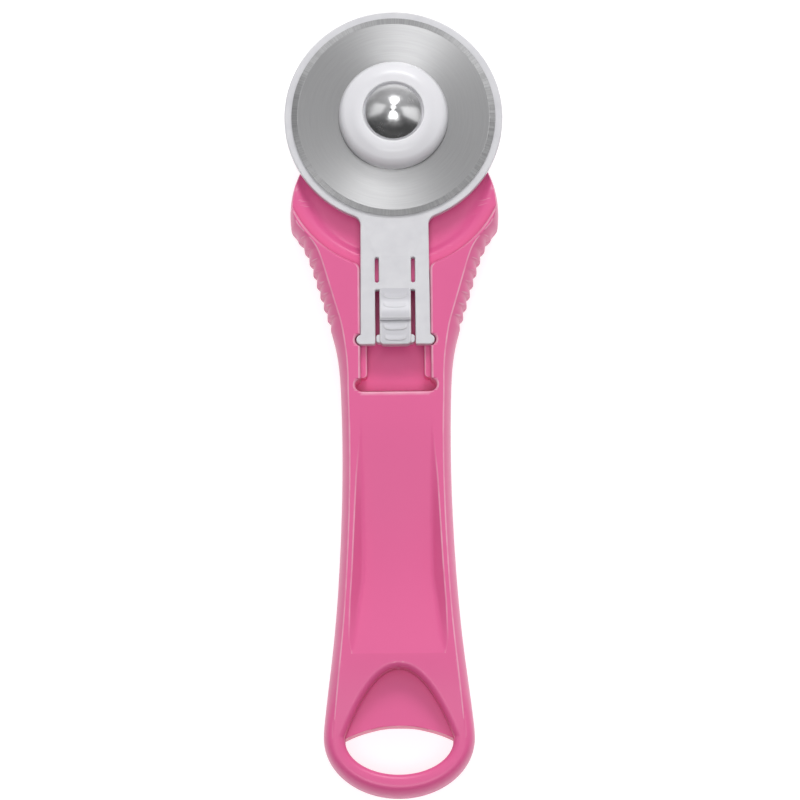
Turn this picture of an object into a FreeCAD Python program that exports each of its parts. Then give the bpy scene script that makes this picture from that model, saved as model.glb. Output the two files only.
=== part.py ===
import FreeCAD, Part
import math
import os
import re
import Sketcher

# Rotary cutter with a 45 mm blade, lying on its flat back.
# Every sub-part is drawn about the axle: X to the right, Y to the head, Z up from the flat back.
# Each Body is then moved along Y, so that the document's origin lies under the middle of the tool.

Vector = FreeCAD.Vector
doc = FreeCAD.newDocument("rotary_cutter")
sheet = doc.addObject("Spreadsheet::Sheet", "Sheet")

DIMENSIONS = [
    ("axle_to_middle", 63.25, "axle to the middle of the tool's length"),
    ("blade_radius", 22.5, "standard 45 mm blade"),
    ("blade_low", 14.1, "underside of the blade"),
    ("blade_thick", 0.3, "blade thickness"),
    ("blade_bevel", 1.2, "width of the ground edge"),
    ("hub_hole_radius", 4.0, "hole in the blade"),
    ("run_gap", 0.05, "radial clearance of a running fit"),
    ("front_face", 14.0, "front face of the handle above its back"),
    ("parting", 7.0, "plane where the two halves meet"),
    ("edge_round", 1.6, "rounding along the handle's outer edges"),
    ("neck_radius", 13.0, "round nose of the handle about the axle"),
    ("shoulder_radius", 23.0, "round shoulders"),
    ("shoulder_drop", 21.0, "axle down to the shoulders' centre"),
    ("shoulder_end", 23.8, "where the shoulder arc becomes the flank"),
    ("loop_half", 16.4, "half width of the finger loop"),
    ("loop_drop", 137.5, "axle down to the loop's widest place"),
    ("loop_round", 13.1, "depth of the loop's rounded end"),
    ("eye_half", 11.7, "half width of the loop's eye"),
    ("eye_drop", 138.5, "axle down to the eye's widest place"),
    ("eye_round", 7.5, "depth of the eye's rounded end"),
    ("eye_top", 135.1, "axle down to the eye's upper edge"),
    ("web_thick", 4.5, "plate above the eye"),
    ("arch_top", 124.0, "axle down to the top of the arch pocket"),
    ("arch_foot", 137.7, "axle down to the arch pocket's feet"),
    ("recess_drop", 10.0, "axle down to the centre of the guard's recess"),
    ("recess_radius", 24.6, "guard's recess"),
    ("ledge_level", 11.6, "ledge and rails that the guard slides on"),
    ("floor_radius", 22.0, "deep part of the recess"),
    ("floor_level", 10.2, "floor of the recess"),
    ("plate_low", 6.2, "underside of the plate that carries the axle"),
    ("nut_well", 13.6, "radius cleared behind the plate for the nut"),
    ("seat_radius", 6.5, "boss that the blade sits on"),
    ("seat_level", 14.05, "top of that boss"),
    ("spigot_low", 12.4, "end of the collar's spigot"),
    ("flat_half", 3.0, "half width across the spigot's two flats"),
    ("channel_half", 7.75, "half width of the guard's channel"),
    ("mouth_round", 1.8, "rounding of the channel's mouth"),
    ("well_half", 6.3, "half width of the well under the latch"),
    ("well_top", 38.0, "axle down to the well's upper end"),
    ("well_end", 61.9, "axle down to the well's lower end"),
    ("well_level", 8.6, "floor of the well"),
    ("notch_half", 8.9, "half width across the notches"),
    ("notch_high", 48.95, "axle down to the upper notches"),
    ("notch_low", 58.95, "axle down to the lower notches"),
    ("notch_long", 2.8, "length of a notch"),
    ("scoop_top", 67.0, "axle down to the grip scoop's start"),
    ("scoop_mid", 100.0, "axle down to the scoop's deepest place"),
    ("scoop_end", 120.9, "axle down to the scoop's crease"),
    ("scoop_deep", 2.8, "depth of the scoop"),
    ("scoop_half", 9.0, "half width of the scoop"),
    ("tooth_pitch", 2.7, "pitch of the flank's serrations"),
    ("tooth_first", 26.4, "axle down to the first serration"),
    ("tooth_round", 1.4, "radius of a serration's hollow"),
    ("tooth_deep", 0.5, "depth of a serration"),
    ("tooth_count", 8, "serrations on each flank"),
    ("wall", 2.4, "wall of the hollow grip"),
    ("hollow_top", 66.0, "axle down to the hollow's upper end"),
    ("hollow_end", 118.0, "axle down to the hollow's lower end"),
    ("hollow_front", 9.2, "hollow's ceiling in the front half"),
    ("hollow_back", 2.0, "hollow's floor in the back half"),
    ("pillar_radius", 3.4, "screw pillars"),
    ("screw_radius", 1.25, "thread of the handle screws"),
    ("screw_head", 2.5, "radius of the screws' heads"),
    ("head_low", 0.8, "outer face of the screws' heads"),
    ("head_high", 2.4, "seat of the screws' heads"),
    ("screw_end", 9.4, "tip of the screws"),
    ("shoulder_screw_side", 14.0, "shoulder screws from the middle line"),
    ("shoulder_screw_drop", 32.5, "axle down to the shoulder screws"),
    ("grip_screw_high", 72.0, "axle down to the upper grip screw"),
    ("grip_screw_low", 112.0, "axle down to the lower grip screw"),
    ("guard_low", 11.8, "underside of the guard"),
    ("guard_thick", 2.0, "guard thickness"),
    ("guard_radius", 24.1, "guard disc"),
    ("guard_travel", 10.0, "how far the guard slides"),
    ("slot_half", 6.7, "half width of the guard's slot round the boss"),
    ("stem_half", 7.5, "half width of the guard's stem"),
    ("stem_fillet", 2.2, "fillet between disc and stem"),
    ("split_inner", 3.55, "inner side of the slots beside the latch"),
    ("split_outer", 4.4, "outer side of those slots"),
    ("split_top", 31.8, "axle down to the upper slots"),
    ("web_top", 37.5, "axle down to the guard's webs"),
    ("web_end", 39.1, "lower side of the webs"),
    ("leg_end", 51.4, "axle down to the end of the legs"),
    ("ear_half", 8.6, "half width across the ears"),
    ("ear_long", 2.2, "length of an ear"),
    ("latch_gap", 0.15, "gap at the latch's root"),
    ("latch_half", 3.5, "half width of the latch"),
    ("latch_end", 51.5, "axle down to the end of the latch"),
    ("pad_top", 43.0, "axle down to the thumb pad"),
    ("pad_step", 46.1, "axle down to the pad's step"),
    ("pad_high", 14.9, "top of the pad's bulge"),
    ("pad_low", 14.2, "top of the pad below its step"),
    ("rib_thick", 0.4, "ribs across the latch"),
    ("tab_half", 4.2, "half width across the latch's side tabs"),
    ("tab_top", 49.1, "axle down to the side tabs"),
    ("tab_low", 11.2, "underside of the tabs"),
    ("tab_thick", 1.4, "thickness of the tabs"),
    ("collar_radius", 12.1, "foot of the blade collar"),
    ("collar_low", 14.45, "underside of the collar"),
    ("collar_high", 19.25, "top of the collar"),
    ("collar_lip", 8.6, "where the collar's round shoulder meets its top"),
    ("bowl_radius", 6.6, "seat for the bolt's head"),
    ("bowl_level", 18.4, "floor of that seat"),
    ("square_half", 2.9, "half side of the bolt's square neck"),
    ("square_low", 15.6, "lower end of the square neck"),
    ("square_gap", 0.1, "clearance round the square neck"),
    ("dome_radius", 6.4, "bolt head"),
    ("dome_rise", 3.8, "height of the domed head"),
    ("bolt_radius", 2.5, "M5 shank"),
    ("bolt_end", 0.9, "tip of the bolt"),
    ("bore_gap", 0.1, "clearance of the bolt in plain holes"),
    ("wave_radius", 6.0, "outside of the wave washer"),
    ("wave_thick", 0.3, "strip thickness of the wave washer"),
    ("wave_rise", 0.35, "half height of its waves"),
    ("wave_count", 3, "waves round the washer"),
    ("washer_radius", 7.0, "flat washer"),
    ("washer_low", 4.5, "underside of the flat washer"),
    ("washer_thick", 0.7, "flat washer thickness"),
    ("nut_radius", 11.0, "thumb nut"),
    ("nut_low", 0.3, "outer face of the nut"),
    ("nut_high", 4.45, "inner face of the nut"),
    ("nut_hole", 3.0, "hole in the nut's outer face"),
    ("flute_radius", 1.3, "finger flutes round the nut"),
    ("flute_count", 12, "number of flutes"),
    ("insert_flat", 4.0, "insert, centre to a flat"),
    ("insert_low", 1.3, "lower end of the insert"),
]
for row, (alias, value, note) in enumerate(DIMENSIONS, start=1):
    sheet.set(f"A{row}", note)
    sheet.set(f"B{row}", str(value))
    sheet.setAlias(f"B{row}", alias)
doc.recompute()

# Half width of the handle at stations down the axle, from the shoulder to the loop.
FLANK = [(21.7, 25.9), (17.8, 35.0), (15.1, 44.0), (13.2, 50.8), (12.1, 62.1), (11.9, 73.4),
         (12.5, 96.0), (14.3, 118.6), (16.2, 134.4)]
EPS_CUT = 1.0
TINY = 1e-3


def formula(text):
    """Turn a formula in the sheet's words into one that FreeCAD can evaluate."""
    return re.sub(r"\b([a-z][a-z_]*)\b(?!\()", r"Sheet.\1", str(text))


def val(text):
    """The present value of a formula in the sheet's words."""
    return float(sheet.evalExpression(formula(text)))


def bind(obj, prop, text):
    obj.setExpression(prop, formula(text))


def new_body(label):
    body = doc.addObject("PartDesign::Body", label)
    body.Label = label
    bind(body, "Placement.Base.y", "axle_to_middle")
    return body


def new_sketch(body, name, level="0", role="XY_Plane"):
    """A sketch on one of the body's own origin planes, lifted to a level."""
    plane = [o for o in body.Origin.OriginFeatures if o.Role == role][0]
    sketch = body.newObject("Sketcher::SketchObject", f"{body.Label}_{name}")
    sketch.AttachmentSupport = [(plane, "")]
    sketch.MapMode = "FlatFace"
    bind(sketch, "AttachmentOffset.Base.z", level)
    return sketch


def pin(sketch, geo, point, x, y):
    """Hold one point of a sketch at two formulas from the origin."""
    for kind, text in (("DistanceX", x), ("DistanceY", y)):
        index = sketch.addConstraint(Sketcher.Constraint(kind, -1, 1, geo, point, val(text)))
        bind(sketch, f"Constraints[{index}]", text)


def circle(sketch, radius, x="0", y="0"):
    geo = sketch.addGeometry(Part.Circle(Vector(val(x), val(y), 0), Vector(0, 0, 1), val(radius)), False)
    index = sketch.addConstraint(Sketcher.Constraint("Radius", geo, val(radius)))
    bind(sketch, f"Constraints[{index}]", radius)
    pin(sketch, geo, 3, x, y)
    return sketch


def polygon(sketch, corners):
    """A closed outline through corners, each held at its two formulas."""
    spots = [Vector(val(x), val(y), 0) for x, y in corners]
    count = len(spots)
    first = sketch.GeometryCount
    for i in range(count):
        sketch.addGeometry(Part.LineSegment(spots[i], spots[(i + 1) % count]), False)
    for i in range(count):
        sketch.addConstraint(Sketcher.Constraint("Coincident", first + i, 2, first + (i + 1) % count, 1))
        pin(sketch, first + i, 1, *corners[i])
    return sketch


def rectangle(sketch, left, right, low, high):
    return polygon(sketch, [(left, low), (right, low), (right, high), (left, high)])


def pad(body, name, sketch, height):
    feature = body.newObject("PartDesign::Pad", f"{body.Label}_{name}")
    feature.Profile = sketch
    bind(feature, "Length", height)
    return feature


def pocket(body, name, sketch, depth=None, upward=True, both=False):
    """Cut upward or downward from the sketch: to a depth, or right through."""
    feature = body.newObject("PartDesign::Pocket", f"{body.Label}_{name}")
    feature.Profile = sketch
    feature.Reversed = upward
    if depth is None:
        feature.Type = 1
    else:
        bind(feature, "Length", depth)
    if both:
        feature.Midplane = True
    return feature


def turned(body, name, corners):
    """Revolve a half section, given as (radius, level) corners, about the axle."""
    sketch = polygon(new_sketch(body, name, role="XZ_Plane"), corners)
    feature = body.newObject("PartDesign::Revolution", f"{body.Label}_{name}_turn")
    feature.Profile = sketch
    feature.ReferenceAxis = (sketch, ["V_Axis"])
    feature.Angle = 360
    return feature


def handle_outline(sketch):
    """Round shoulders, drawn-in flanks and the loop's half ellipse."""
    round_, drop = val("shoulder_radius"), val("shoulder_drop")
    end = math.asin((drop - val("shoulder_end")) / round_)
    shoulder = Part.Circle(Vector(0, -drop, 0), Vector(0, 0, 1), round_)
    sketch.addGeometry(Part.ArcOfCircle(shoulder, end, math.pi - end), False)
    stations = [(round_ * math.cos(end), val("shoulder_end"))] + FLANK
    stations.append((val("loop_half"), val("loop_drop")))
    for side in (1, -1):
        curve = Part.BSplineCurve()
        curve.interpolate(Points=[Vector(side * half, -drop_, 0) for half, drop_ in stations],
                          InitialTangent=Vector(side * math.sin(end), -math.cos(end), 0),
                          FinalTangent=Vector(0, -1, 0))
        sketch.addGeometry(curve, False)
    ellipse = Part.Ellipse(Vector(0, -val("loop_drop"), 0), val("loop_half"), val("loop_round"))
    sketch.addGeometry(Part.ArcOfEllipse(ellipse, math.pi, 2 * math.pi), False)
    return sketch


def hollow_outline(sketch):
    """The grip's hollow: the flanks moved in by the wall, closed straight across."""
    top, end, wall = val("hollow_top"), val("hollow_end"), val("wall")
    stations = [(half - wall, drop) for half, drop in FLANK if top < drop < end]
    stations = [(FLANK[4][0] - wall, top)] + stations + [(FLANK[7][0] - wall, end)]
    for side in (1, -1):
        curve = Part.BSplineCurve()
        curve.interpolate([Vector(side * half, -drop, 0) for half, drop in stations])
        sketch.addGeometry(curve, False)
    for half, drop in (stations[0], stations[-1]):
        sketch.addGeometry(Part.LineSegment(Vector(-half, -drop, 0), Vector(half, -drop, 0)), False)
    return sketch


def eye_outline(sketch):
    """The loop's eye: a shallow arch above and a half ellipse below."""
    half, drop = val("eye_half"), val("eye_drop")
    corner = Vector(half, -drop, 0)
    opposite = Vector(-half, -drop, 0)
    sketch.addGeometry(Part.Arc(corner, Vector(0, -val("eye_top"), 0), opposite), False)
    ellipse = Part.Ellipse(Vector(0, -drop, 0), half, val("eye_round"))
    sketch.addGeometry(Part.ArcOfEllipse(ellipse, math.pi, 2 * math.pi), False)
    return sketch


def arch_outline(sketch):
    """The pocket above the eye: a parabola closed by a line at its feet."""
    half, foot, top = val("eye_half"), val("arch_foot"), val("arch_top")
    curve = Part.BezierCurve()
    curve.setPoles([Vector(-half, -foot, 0), Vector(0, foot - 2 * top, 0), Vector(half, -foot, 0)])
    sketch.addGeometry(curve.toBSpline(), False)
    sketch.addGeometry(Part.LineSegment(Vector(-half, -foot, 0), Vector(half, -foot, 0)), False)
    return sketch


def serration_circles(sketch):
    """Hollows along both flanks, each sunk by the tooth's depth."""
    slope = (FLANK[3][0] - FLANK[0][0]) / (FLANK[3][1] - FLANK[0][1])
    normal_x, normal_y = math.cos(math.atan(slope)), math.sin(math.atan(slope))
    stand_off = val("tooth_round - tooth_deep")
    for i in range(int(val("tooth_count"))):
        drop = val("tooth_first") + i * val("tooth_pitch")
        for (half_a, drop_a), (half_b, drop_b) in zip(FLANK[:-1], FLANK[1:]):
            if drop_a <= drop < drop_b:
                half = half_a + (half_b - half_a) * (drop - drop_a) / (drop_b - drop_a)
        for side in (1, -1):
            spot = Vector(side * (half + stand_off * normal_x), -drop + stand_off * normal_y, 0)
            sketch.addGeometry(Part.Circle(spot, Vector(0, 0, 1), val("tooth_round")), False)
    return sketch


def scoop_outline(sketch):
    """Side view of the grip scoop: a curve that dips below the front face."""
    front = val("front_face")
    top, mid, end = val("scoop_top"), val("scoop_mid"), val("scoop_end")
    curve = Part.BSplineCurve()
    curve.interpolate(Points=[Vector(-top, front, 0), Vector(-mid, front - val("scoop_deep"), 0),
                              Vector(-end, front, 0)],
                      InitialTangent=Vector(-1, 0, 0), FinalTangent=Vector(-1, 0.6, 0))
    sketch.addGeometry(curve, False)
    lift = front + EPS_CUT
    sketch.addGeometry(Part.LineSegment(Vector(-end, front, 0), Vector(-end, lift, 0)), False)
    sketch.addGeometry(Part.LineSegment(Vector(-end, lift, 0), Vector(-top, lift, 0)), False)
    sketch.addGeometry(Part.LineSegment(Vector(-top, lift, 0), Vector(-top, front, 0)), False)
    return sketch


def screw_spots():
    return [("shoulder_screw_side", "-shoulder_screw_drop"), ("-shoulder_screw_side", "-shoulder_screw_drop"),
            ("0", "-grip_screw_high"), ("0", "-grip_screw_low")]


def circles(sketch, radius, spots):
    for x, y in spots:
        circle(sketch, radius, x, y)
    return sketch


def fillet(body, name, radius, wanted):
    """Round every edge of the body so far for which wanted(edge) is true."""
    doc.recompute()
    base = body.Tip
    edges = [f"Edge{i}" for i, edge in enumerate(base.Shape.Edges, start=1) if wanted(edge)]
    feature = body.newObject("PartDesign::Fillet", f"{body.Label}_{name}")
    feature.Base = (base, edges)
    bind(feature, "Radius", radius)
    doc.recompute()
    return feature


def lies_at(level):
    """A test for the edges that lie wholly at one level."""
    return lambda edge: abs(edge.BoundBox.ZMin - level) < TINY and abs(edge.BoundBox.ZMax - level) < TINY


def stands_at(half, drop):
    """A test for the upright edges at a distance to either side and a distance down."""
    return lambda edge: (abs(abs(edge.CenterOfMass.x) - half) < TINY and edge.BoundBox.YLength < TINY
                         and abs(edge.CenterOfMass.y + drop) < TINY)


def make_front_shell():
    body = new_body("handle_front_shell")
    pad(body, "block", handle_outline(new_sketch(body, "outline", "parting")), "front_face - parting")
    fillet(body, "edge", "edge_round", lies_at(val("front_face")))
    pad(body, "plate", circle(new_sketch(body, "plate_round", "plate_low"), "neck_radius"),
        "floor_level - plate_low")
    pocket(body, "teeth", serration_circles(new_sketch(body, "teeth_rounds", "parting")))
    pocket(body, "ledge", circle(new_sketch(body, "ledge_round", "ledge_level"), "recess_radius",
                                 "0", "-recess_drop"))
    pocket(body, "floor", circle(new_sketch(body, "floor_round", "floor_level"), "floor_radius",
                                 "0", "-recess_drop"))
    pocket(body, "channel", rectangle(new_sketch(body, "channel_sides", "ledge_level"),
                                      "-channel_half", "channel_half", "-well_end", "-recess_drop"))
    mouth = val("recess_drop") + math.sqrt(val("recess_radius")**2 - val("channel_half")**2)
    fillet(body, "mouth", "mouth_round", stands_at(val("channel_half"), mouth))
    pocket(body, "well", rectangle(new_sketch(body, "well_sides", "well_level"),
                                   "-well_half", "well_half", "-well_end", "-well_top"))
    for name, drop in (("notch_high", "notch_high"), ("notch_low", "notch_low")):
        pocket(body, name, rectangle(new_sketch(body, f"{name}_sides", "ledge_level"),
                                     "-notch_half", "notch_half", f"-{drop} - notch_long", f"-{drop}"))
    scoop = scoop_outline(new_sketch(body, "scoop_side", role="YZ_Plane"))
    pocket(body, "scoop", scoop, "2 * scoop_half", both=True)
    pocket(body, "arch", arch_outline(new_sketch(body, "arch_curve", "parting + web_thick / 2")))
    pocket(body, "eye", eye_outline(new_sketch(body, "eye_curve", "parting")))
    pocket(body, "hollow", hollow_outline(new_sketch(body, "hollow_curve", "parting")),
           "hollow_front - parting")
    grip_spots = screw_spots()[2:]
    pad(body, "pillars", circles(new_sketch(body, "pillar_rounds", "parting"), "pillar_radius", grip_spots),
        "hollow_front - parting + 0.3")
    pocket(body, "pilots", circles(new_sketch(body, "pilot_rounds", "parting"),
                                   "screw_radius + run_gap", screw_spots()), "screw_end - parting + 0.2")
    pad(body, "seat", circle(new_sketch(body, "seat_round", "floor_level"), "seat_radius"),
        "seat_level - floor_level")
    pocket(body, "bore", circle(new_sketch(body, "bore_round", "plate_low"), "bolt_radius + bore_gap"))
    pocket(body, "key", keyed_round(new_sketch(body, "key_round", "spigot_low - 0.1"),
                                    "hub_hole_radius", "flat_half + bore_gap"))
    return body


def keyed_round(sketch, radius, half):
    """A circle with two flats, for a spigot that must not turn."""
    round_, across = val(radius), val(half)
    high = math.sqrt(round_**2 - across**2)
    angle = math.atan2(high, across)
    full = Part.Circle(Vector(0, 0, 0), Vector(0, 0, 1), round_)
    sketch.addGeometry(Part.ArcOfCircle(full, angle, math.pi - angle), False)
    sketch.addGeometry(Part.ArcOfCircle(full, math.pi + angle, 2 * math.pi - angle), False)
    for side in (1, -1):
        sketch.addGeometry(Part.LineSegment(Vector(side * across, -high, 0),
                                            Vector(side * across, high, 0)), False)
    return sketch


def make_back_shell():
    body = new_body("handle_back_shell")
    pad(body, "block", handle_outline(new_sketch(body, "outline")), "parting")
    fillet(body, "edge", "edge_round", lies_at(0.0))
    pocket(body, "teeth", serration_circles(new_sketch(body, "teeth_rounds")))
    pocket(body, "nut_well", circle(new_sketch(body, "well_round"), "nut_well"))
    pocket(body, "arch", arch_outline(new_sketch(body, "arch_curve", "parting - web_thick / 2")),
           upward=False)
    pocket(body, "eye", eye_outline(new_sketch(body, "eye_curve")))
    pocket(body, "hollow", hollow_outline(new_sketch(body, "hollow_curve", "hollow_back")))
    grip_spots = screw_spots()[2:]
    pad(body, "pillars", circles(new_sketch(body, "pillar_rounds", "hollow_back"), "pillar_radius",
                                 grip_spots), "parting - hollow_back")
    pocket(body, "screw_ways", circles(new_sketch(body, "way_rounds"), "screw_radius + bore_gap",
                                       screw_spots()))
    pocket(body, "head_ways", circles(new_sketch(body, "head_rounds"), "screw_head + bore_gap",
                                      screw_spots()), "head_high")
    return body


def make_screws():
    """Four identical pan-head screws, one group of separate solids."""
    head_high, head_low = val("head_high"), val("head_low")
    screws = []
    for x, y in screw_spots():
        foot = Vector(val(x), val(y), head_low)
        head = Part.makeCylinder(val("screw_head"), head_high - head_low, foot)
        slot_long, slot_wide, slot_deep = val("screw_head") * 1.2, 0.6, 0.7
        for long, wide in ((slot_long, slot_wide), (slot_wide, slot_long)):
            slot = Part.makeBox(long, wide, slot_deep, foot - Vector(long / 2, wide / 2, 0))
            head = head.cut(slot)
        shank = Part.makeCylinder(val("screw_radius"), val("screw_end") - head_high - 0.8,
                                  Vector(foot.x, foot.y, head_high))
        tip = Part.makeCone(val("screw_radius"), 0.4, 0.8, Vector(foot.x, foot.y, val("screw_end") - 0.8))
        screws.append(head.fuse([shank, tip]).removeSplitter())
    return feature_part("handle_screws", Part.makeCompound(screws))


def feature_part(label, shape):
    feature = doc.addObject("Part::Feature", label)
    feature.Label = label
    feature.Shape = shape
    feature.Placement = FreeCAD.Placement(Vector(0, val("axle_to_middle"), 0), FreeCAD.Rotation())
    return feature


def make_guard():
    body = new_body("blade_guard")
    pad(body, "disc", circle(new_sketch(body, "disc_round", "guard_low"), "guard_radius"), "guard_thick")
    stem = rectangle(new_sketch(body, "stem_sides", "guard_low"),
                     "-stem_half", "stem_half", "-web_end", "-slot_half")
    pad(body, "stem", stem, "guard_thick")
    root = math.sqrt(val("guard_radius")**2 - val("stem_half")**2)
    fillet(body, "root", "stem_fillet", stands_at(val("stem_half"), root))
    slot = new_sketch(body, "slot_sides", "guard_low")
    travel, wide = val("guard_travel"), val("slot_half")
    for centre, start in ((travel, 0.0), (0.0, math.pi)):
        full = Part.Circle(Vector(0, centre, 0), Vector(0, 0, 1), wide)
        slot.addGeometry(Part.ArcOfCircle(full, start, start + math.pi), False)
    for side in (1, -1):
        slot.addGeometry(Part.LineSegment(Vector(side * wide, 0, 0), Vector(side * wide, travel, 0)), False)
    pocket(body, "slot", slot)
    splits = new_sketch(body, "split_sides", "guard_low")
    rectangle(splits, "split_inner", "split_outer", "-web_top", "-split_top")
    rectangle(splits, "-split_outer", "-split_inner", "-web_top", "-split_top")
    pocket(body, "splits", splits)
    return body


def make_guard_legs():
    """Two springy legs with outward ears, as a group of two solids."""
    low, thick = val("guard_low"), val("guard_thick")
    inner, outer = val("split_outer"), val("stem_half")
    top, end = val("web_end"), val("leg_end")
    ear, ear_long = val("ear_half"), val("ear_long")
    legs = []
    for side in (1, -1):
        leg = Part.makeBox(outer - inner, end - top, thick,
                           Vector(inner if side > 0 else -outer, -end, low))
        ear_round = ear_long / 2
        reach = ear - ear_round
        tip = Part.makeCylinder(ear_round, thick, Vector(side * reach, -end + ear_round, low))
        bar = Part.makeBox(reach - inner - 0.5, ear_long, thick,
                           Vector(inner + 0.5 if side > 0 else -reach, -end, low))
        legs.append(leg.fuse([tip, bar]).removeSplitter())
    return feature_part("guard_legs", Part.makeCompound(legs))


def make_latch():
    body = new_body("thumb_latch")
    tongue = rectangle(new_sketch(body, "tongue_sides", "guard_low"), "-latch_half", "latch_half",
                       "-latch_end", "-web_end - latch_gap")
    pad(body, "tongue", tongue, "guard_thick")
    pad(body, "tabs", rectangle(new_sketch(body, "tab_sides", "tab_low"), "-tab_half", "tab_half",
                                "-latch_end + 0.5", "-tab_top"), "tab_thick")
    side_view = polygon(new_sketch(body, "pad_side", role="YZ_Plane"), [
        ("-latch_end", "guard_low + guard_thick - 0.2"), ("-pad_top", "guard_low + guard_thick - 0.2"),
        ("-pad_top", "guard_low + guard_thick"), ("-pad_step + 1.2", "pad_high"),
        ("-pad_step", "pad_high"), ("-pad_step", "pad_low"), ("-latch_end", "pad_low")])
    swell = body.newObject("PartDesign::Pad", "thumb_latch_swell")
    swell.Profile = side_view
    swell.Midplane = True
    bind(swell, "Length", "2 * latch_half")
    for name, drop, half, high in (("rib_first", "pad_top - 2.2", "latch_half - 1.2", "0.35"),
                                   ("rib_third", "pad_step + 2.0", "latch_half", "pad_low - 13.8 + 0.35"),
                                   ("rib_last", "latch_end - 1.1", "latch_half", "pad_low - 13.8 + 0.35")):
        rib = rectangle(new_sketch(body, f"{name}_sides", "guard_low + guard_thick - 0.1"),
                        f"-{half}" if " " not in half else f"-({half})", half,
                        f"-({drop}) - rib_thick / 2", f"-({drop}) + rib_thick / 2")
        pad(body, name, rib, f"{high} + 0.1")
    return body


def make_blade():
    body = new_body("cutting_blade")
    turned(body, "section", [
        ("hub_hole_radius", "blade_low"), ("blade_radius - blade_bevel", "blade_low"),
        ("blade_radius", "blade_low + blade_thick / 2"),
        ("blade_radius - blade_bevel", "blade_low + blade_thick"),
        ("hub_hole_radius", "blade_low + blade_thick")])
    return body


def make_collar():
    body = new_body("blade_collar")
    spigot = keyed_round(new_sketch(body, "spigot_round", "spigot_low"), "hub_hole_radius - run_gap",
                         "flat_half")
    pad(body, "spigot", spigot, "collar_low - spigot_low + 0.2")
    turned(body, "dome", [
        ("0", "collar_low"), ("collar_radius", "collar_low"), ("collar_radius", "collar_low + 1.6"),
        ("collar_radius - 0.7", "collar_high - 1.3"), ("collar_radius - 1.9", "collar_high - 0.3"),
        ("collar_lip", "collar_high"), ("0", "collar_high")])
    pocket(body, "bowl", circle(new_sketch(body, "bowl_round", "bowl_level"), "bowl_radius"))
    pocket(body, "bore", circle(new_sketch(body, "bore_round", "spigot_low"), "bolt_radius + bore_gap"))
    side = "(square_half + square_gap)"
    pocket(body, "square", rectangle(new_sketch(body, "square_sides", "square_low - 0.1"),
                                     f"-{side}", side, f"-{side}", side))
    return body


def make_bolt():
    """Domed head on a square neck, which the collar keeps from turning, and a plain M5 shank."""
    rise, head = val("dome_rise"), val("dome_radius")
    ball = (head**2 + rise**2) / (2 * rise)
    bowl, low = val("bowl_level"), val("bolt_end")
    dome = Part.makeSphere(ball, Vector(0, 0, bowl + rise - ball))
    dome = dome.common(Part.makeCylinder(head, rise + EPS_CUT, Vector(0, 0, bowl)))
    nib = Part.makeCylinder(0.8, 0.3, Vector(0, 0, bowl + rise - 0.2))
    square = val("square_half")
    neck = Part.makeBox(2 * square, 2 * square, bowl - val("square_low"),
                        Vector(-square, -square, val("square_low")))
    shank = Part.makeCylinder(val("bolt_radius"), val("square_low") - low - 0.5, Vector(0, 0, low + 0.5))
    tip = Part.makeCone(val("bolt_radius") - 0.5, val("bolt_radius"), 0.5, Vector(0, 0, low))
    return feature_part("axle_bolt", dome.fuse([nib, neck, shank, tip]).removeSplitter())


def make_wave_washer():
    """A ring of strip steel whose level rises and falls as a sine round the axle."""
    inner, outer = val("bolt_radius + 0.4"), val("wave_radius")
    middle = (val("washer_low + washer_thick") + val("plate_low")) / 2
    steps = 48
    rims = []
    for radius, lift in ((inner, -0.5), (outer, -0.5), (outer, 0.5), (inner, 0.5)):
        points = []
        for i in range(steps):
            turn = 2 * math.pi * i / steps
            level = middle + val("wave_rise") * math.sin(val("wave_count") * turn) + lift * val("wave_thick")
            points.append(Vector(radius * math.cos(turn), radius * math.sin(turn), level))
        curve = Part.BSplineCurve()
        curve.interpolate(Points=points, PeriodicFlag=True)
        rims.append(curve.toShape())
    faces = [Part.makeRuledSurface(rims[i], rims[(i + 1) % 4]) for i in range(4)]
    shell = Part.makeShell(faces)
    shell.sewShape()
    ring = Part.makeSolid(shell)
    ring.fix(1e-4, 1e-4, 1e-4)
    if ring.Volume < 0:
        ring.reverse()
    return feature_part("wave_washer", ring)


def make_flat_washer():
    body = new_body("flat_washer")
    turned(body, "section", [
        ("bolt_radius + bore_gap", "washer_low"), ("washer_radius", "washer_low"),
        ("washer_radius", "washer_low + washer_thick"),
        ("bolt_radius + bore_gap", "washer_low + washer_thick")])
    return body


def make_nut():
    body = new_body("thumb_nut")
    turned(body, "section", [
        ("nut_hole", "nut_low"), ("nut_radius - 0.6", "nut_low"), ("nut_radius", "nut_low + 0.6"),
        ("nut_radius", "nut_high - 0.6"), ("nut_radius - 0.6", "nut_high"), ("nut_hole", "nut_high")])
    flute = circle(new_sketch(body, "flute_round"), "flute_radius", "nut_radius + flute_radius * 0.35", "0")
    cut = pocket(body, "flute", flute)
    doc.recompute()
    pattern = body.newObject("PartDesign::PolarPattern", "thumb_nut_flutes")
    pattern.Originals = [cut]
    pattern.Axis = (flute, ["N_Axis"])
    pattern.Angle = 360
    bind(pattern, "Occurrences", "flute_count")
    body.Tip = pattern
    doc.recompute()
    pocket(body, "hexagon", hexagon(new_sketch(body, "hexagon_sides", "insert_low")))
    return body


def hexagon(sketch):
    """A regular hexagon about the axle, from its centre-to-flat distance."""
    tall = "insert_flat * 1.154701"
    side = "insert_flat * 0.577350"
    return polygon(sketch, [("insert_flat", f"-{side}"), ("insert_flat", side), ("0", tall),
                            ("-insert_flat", side), ("-insert_flat", f"-{side}"), ("0", f"-{tall}")])


def make_insert():
    body = new_body("nut_insert")
    pad(body, "hexagon", hexagon(new_sketch(body, "sides", "insert_low")), "nut_high - insert_low")
    pocket(body, "thread", circle(new_sketch(body, "thread_round", "insert_low"), "bolt_radius + run_gap"))
    return body


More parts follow.
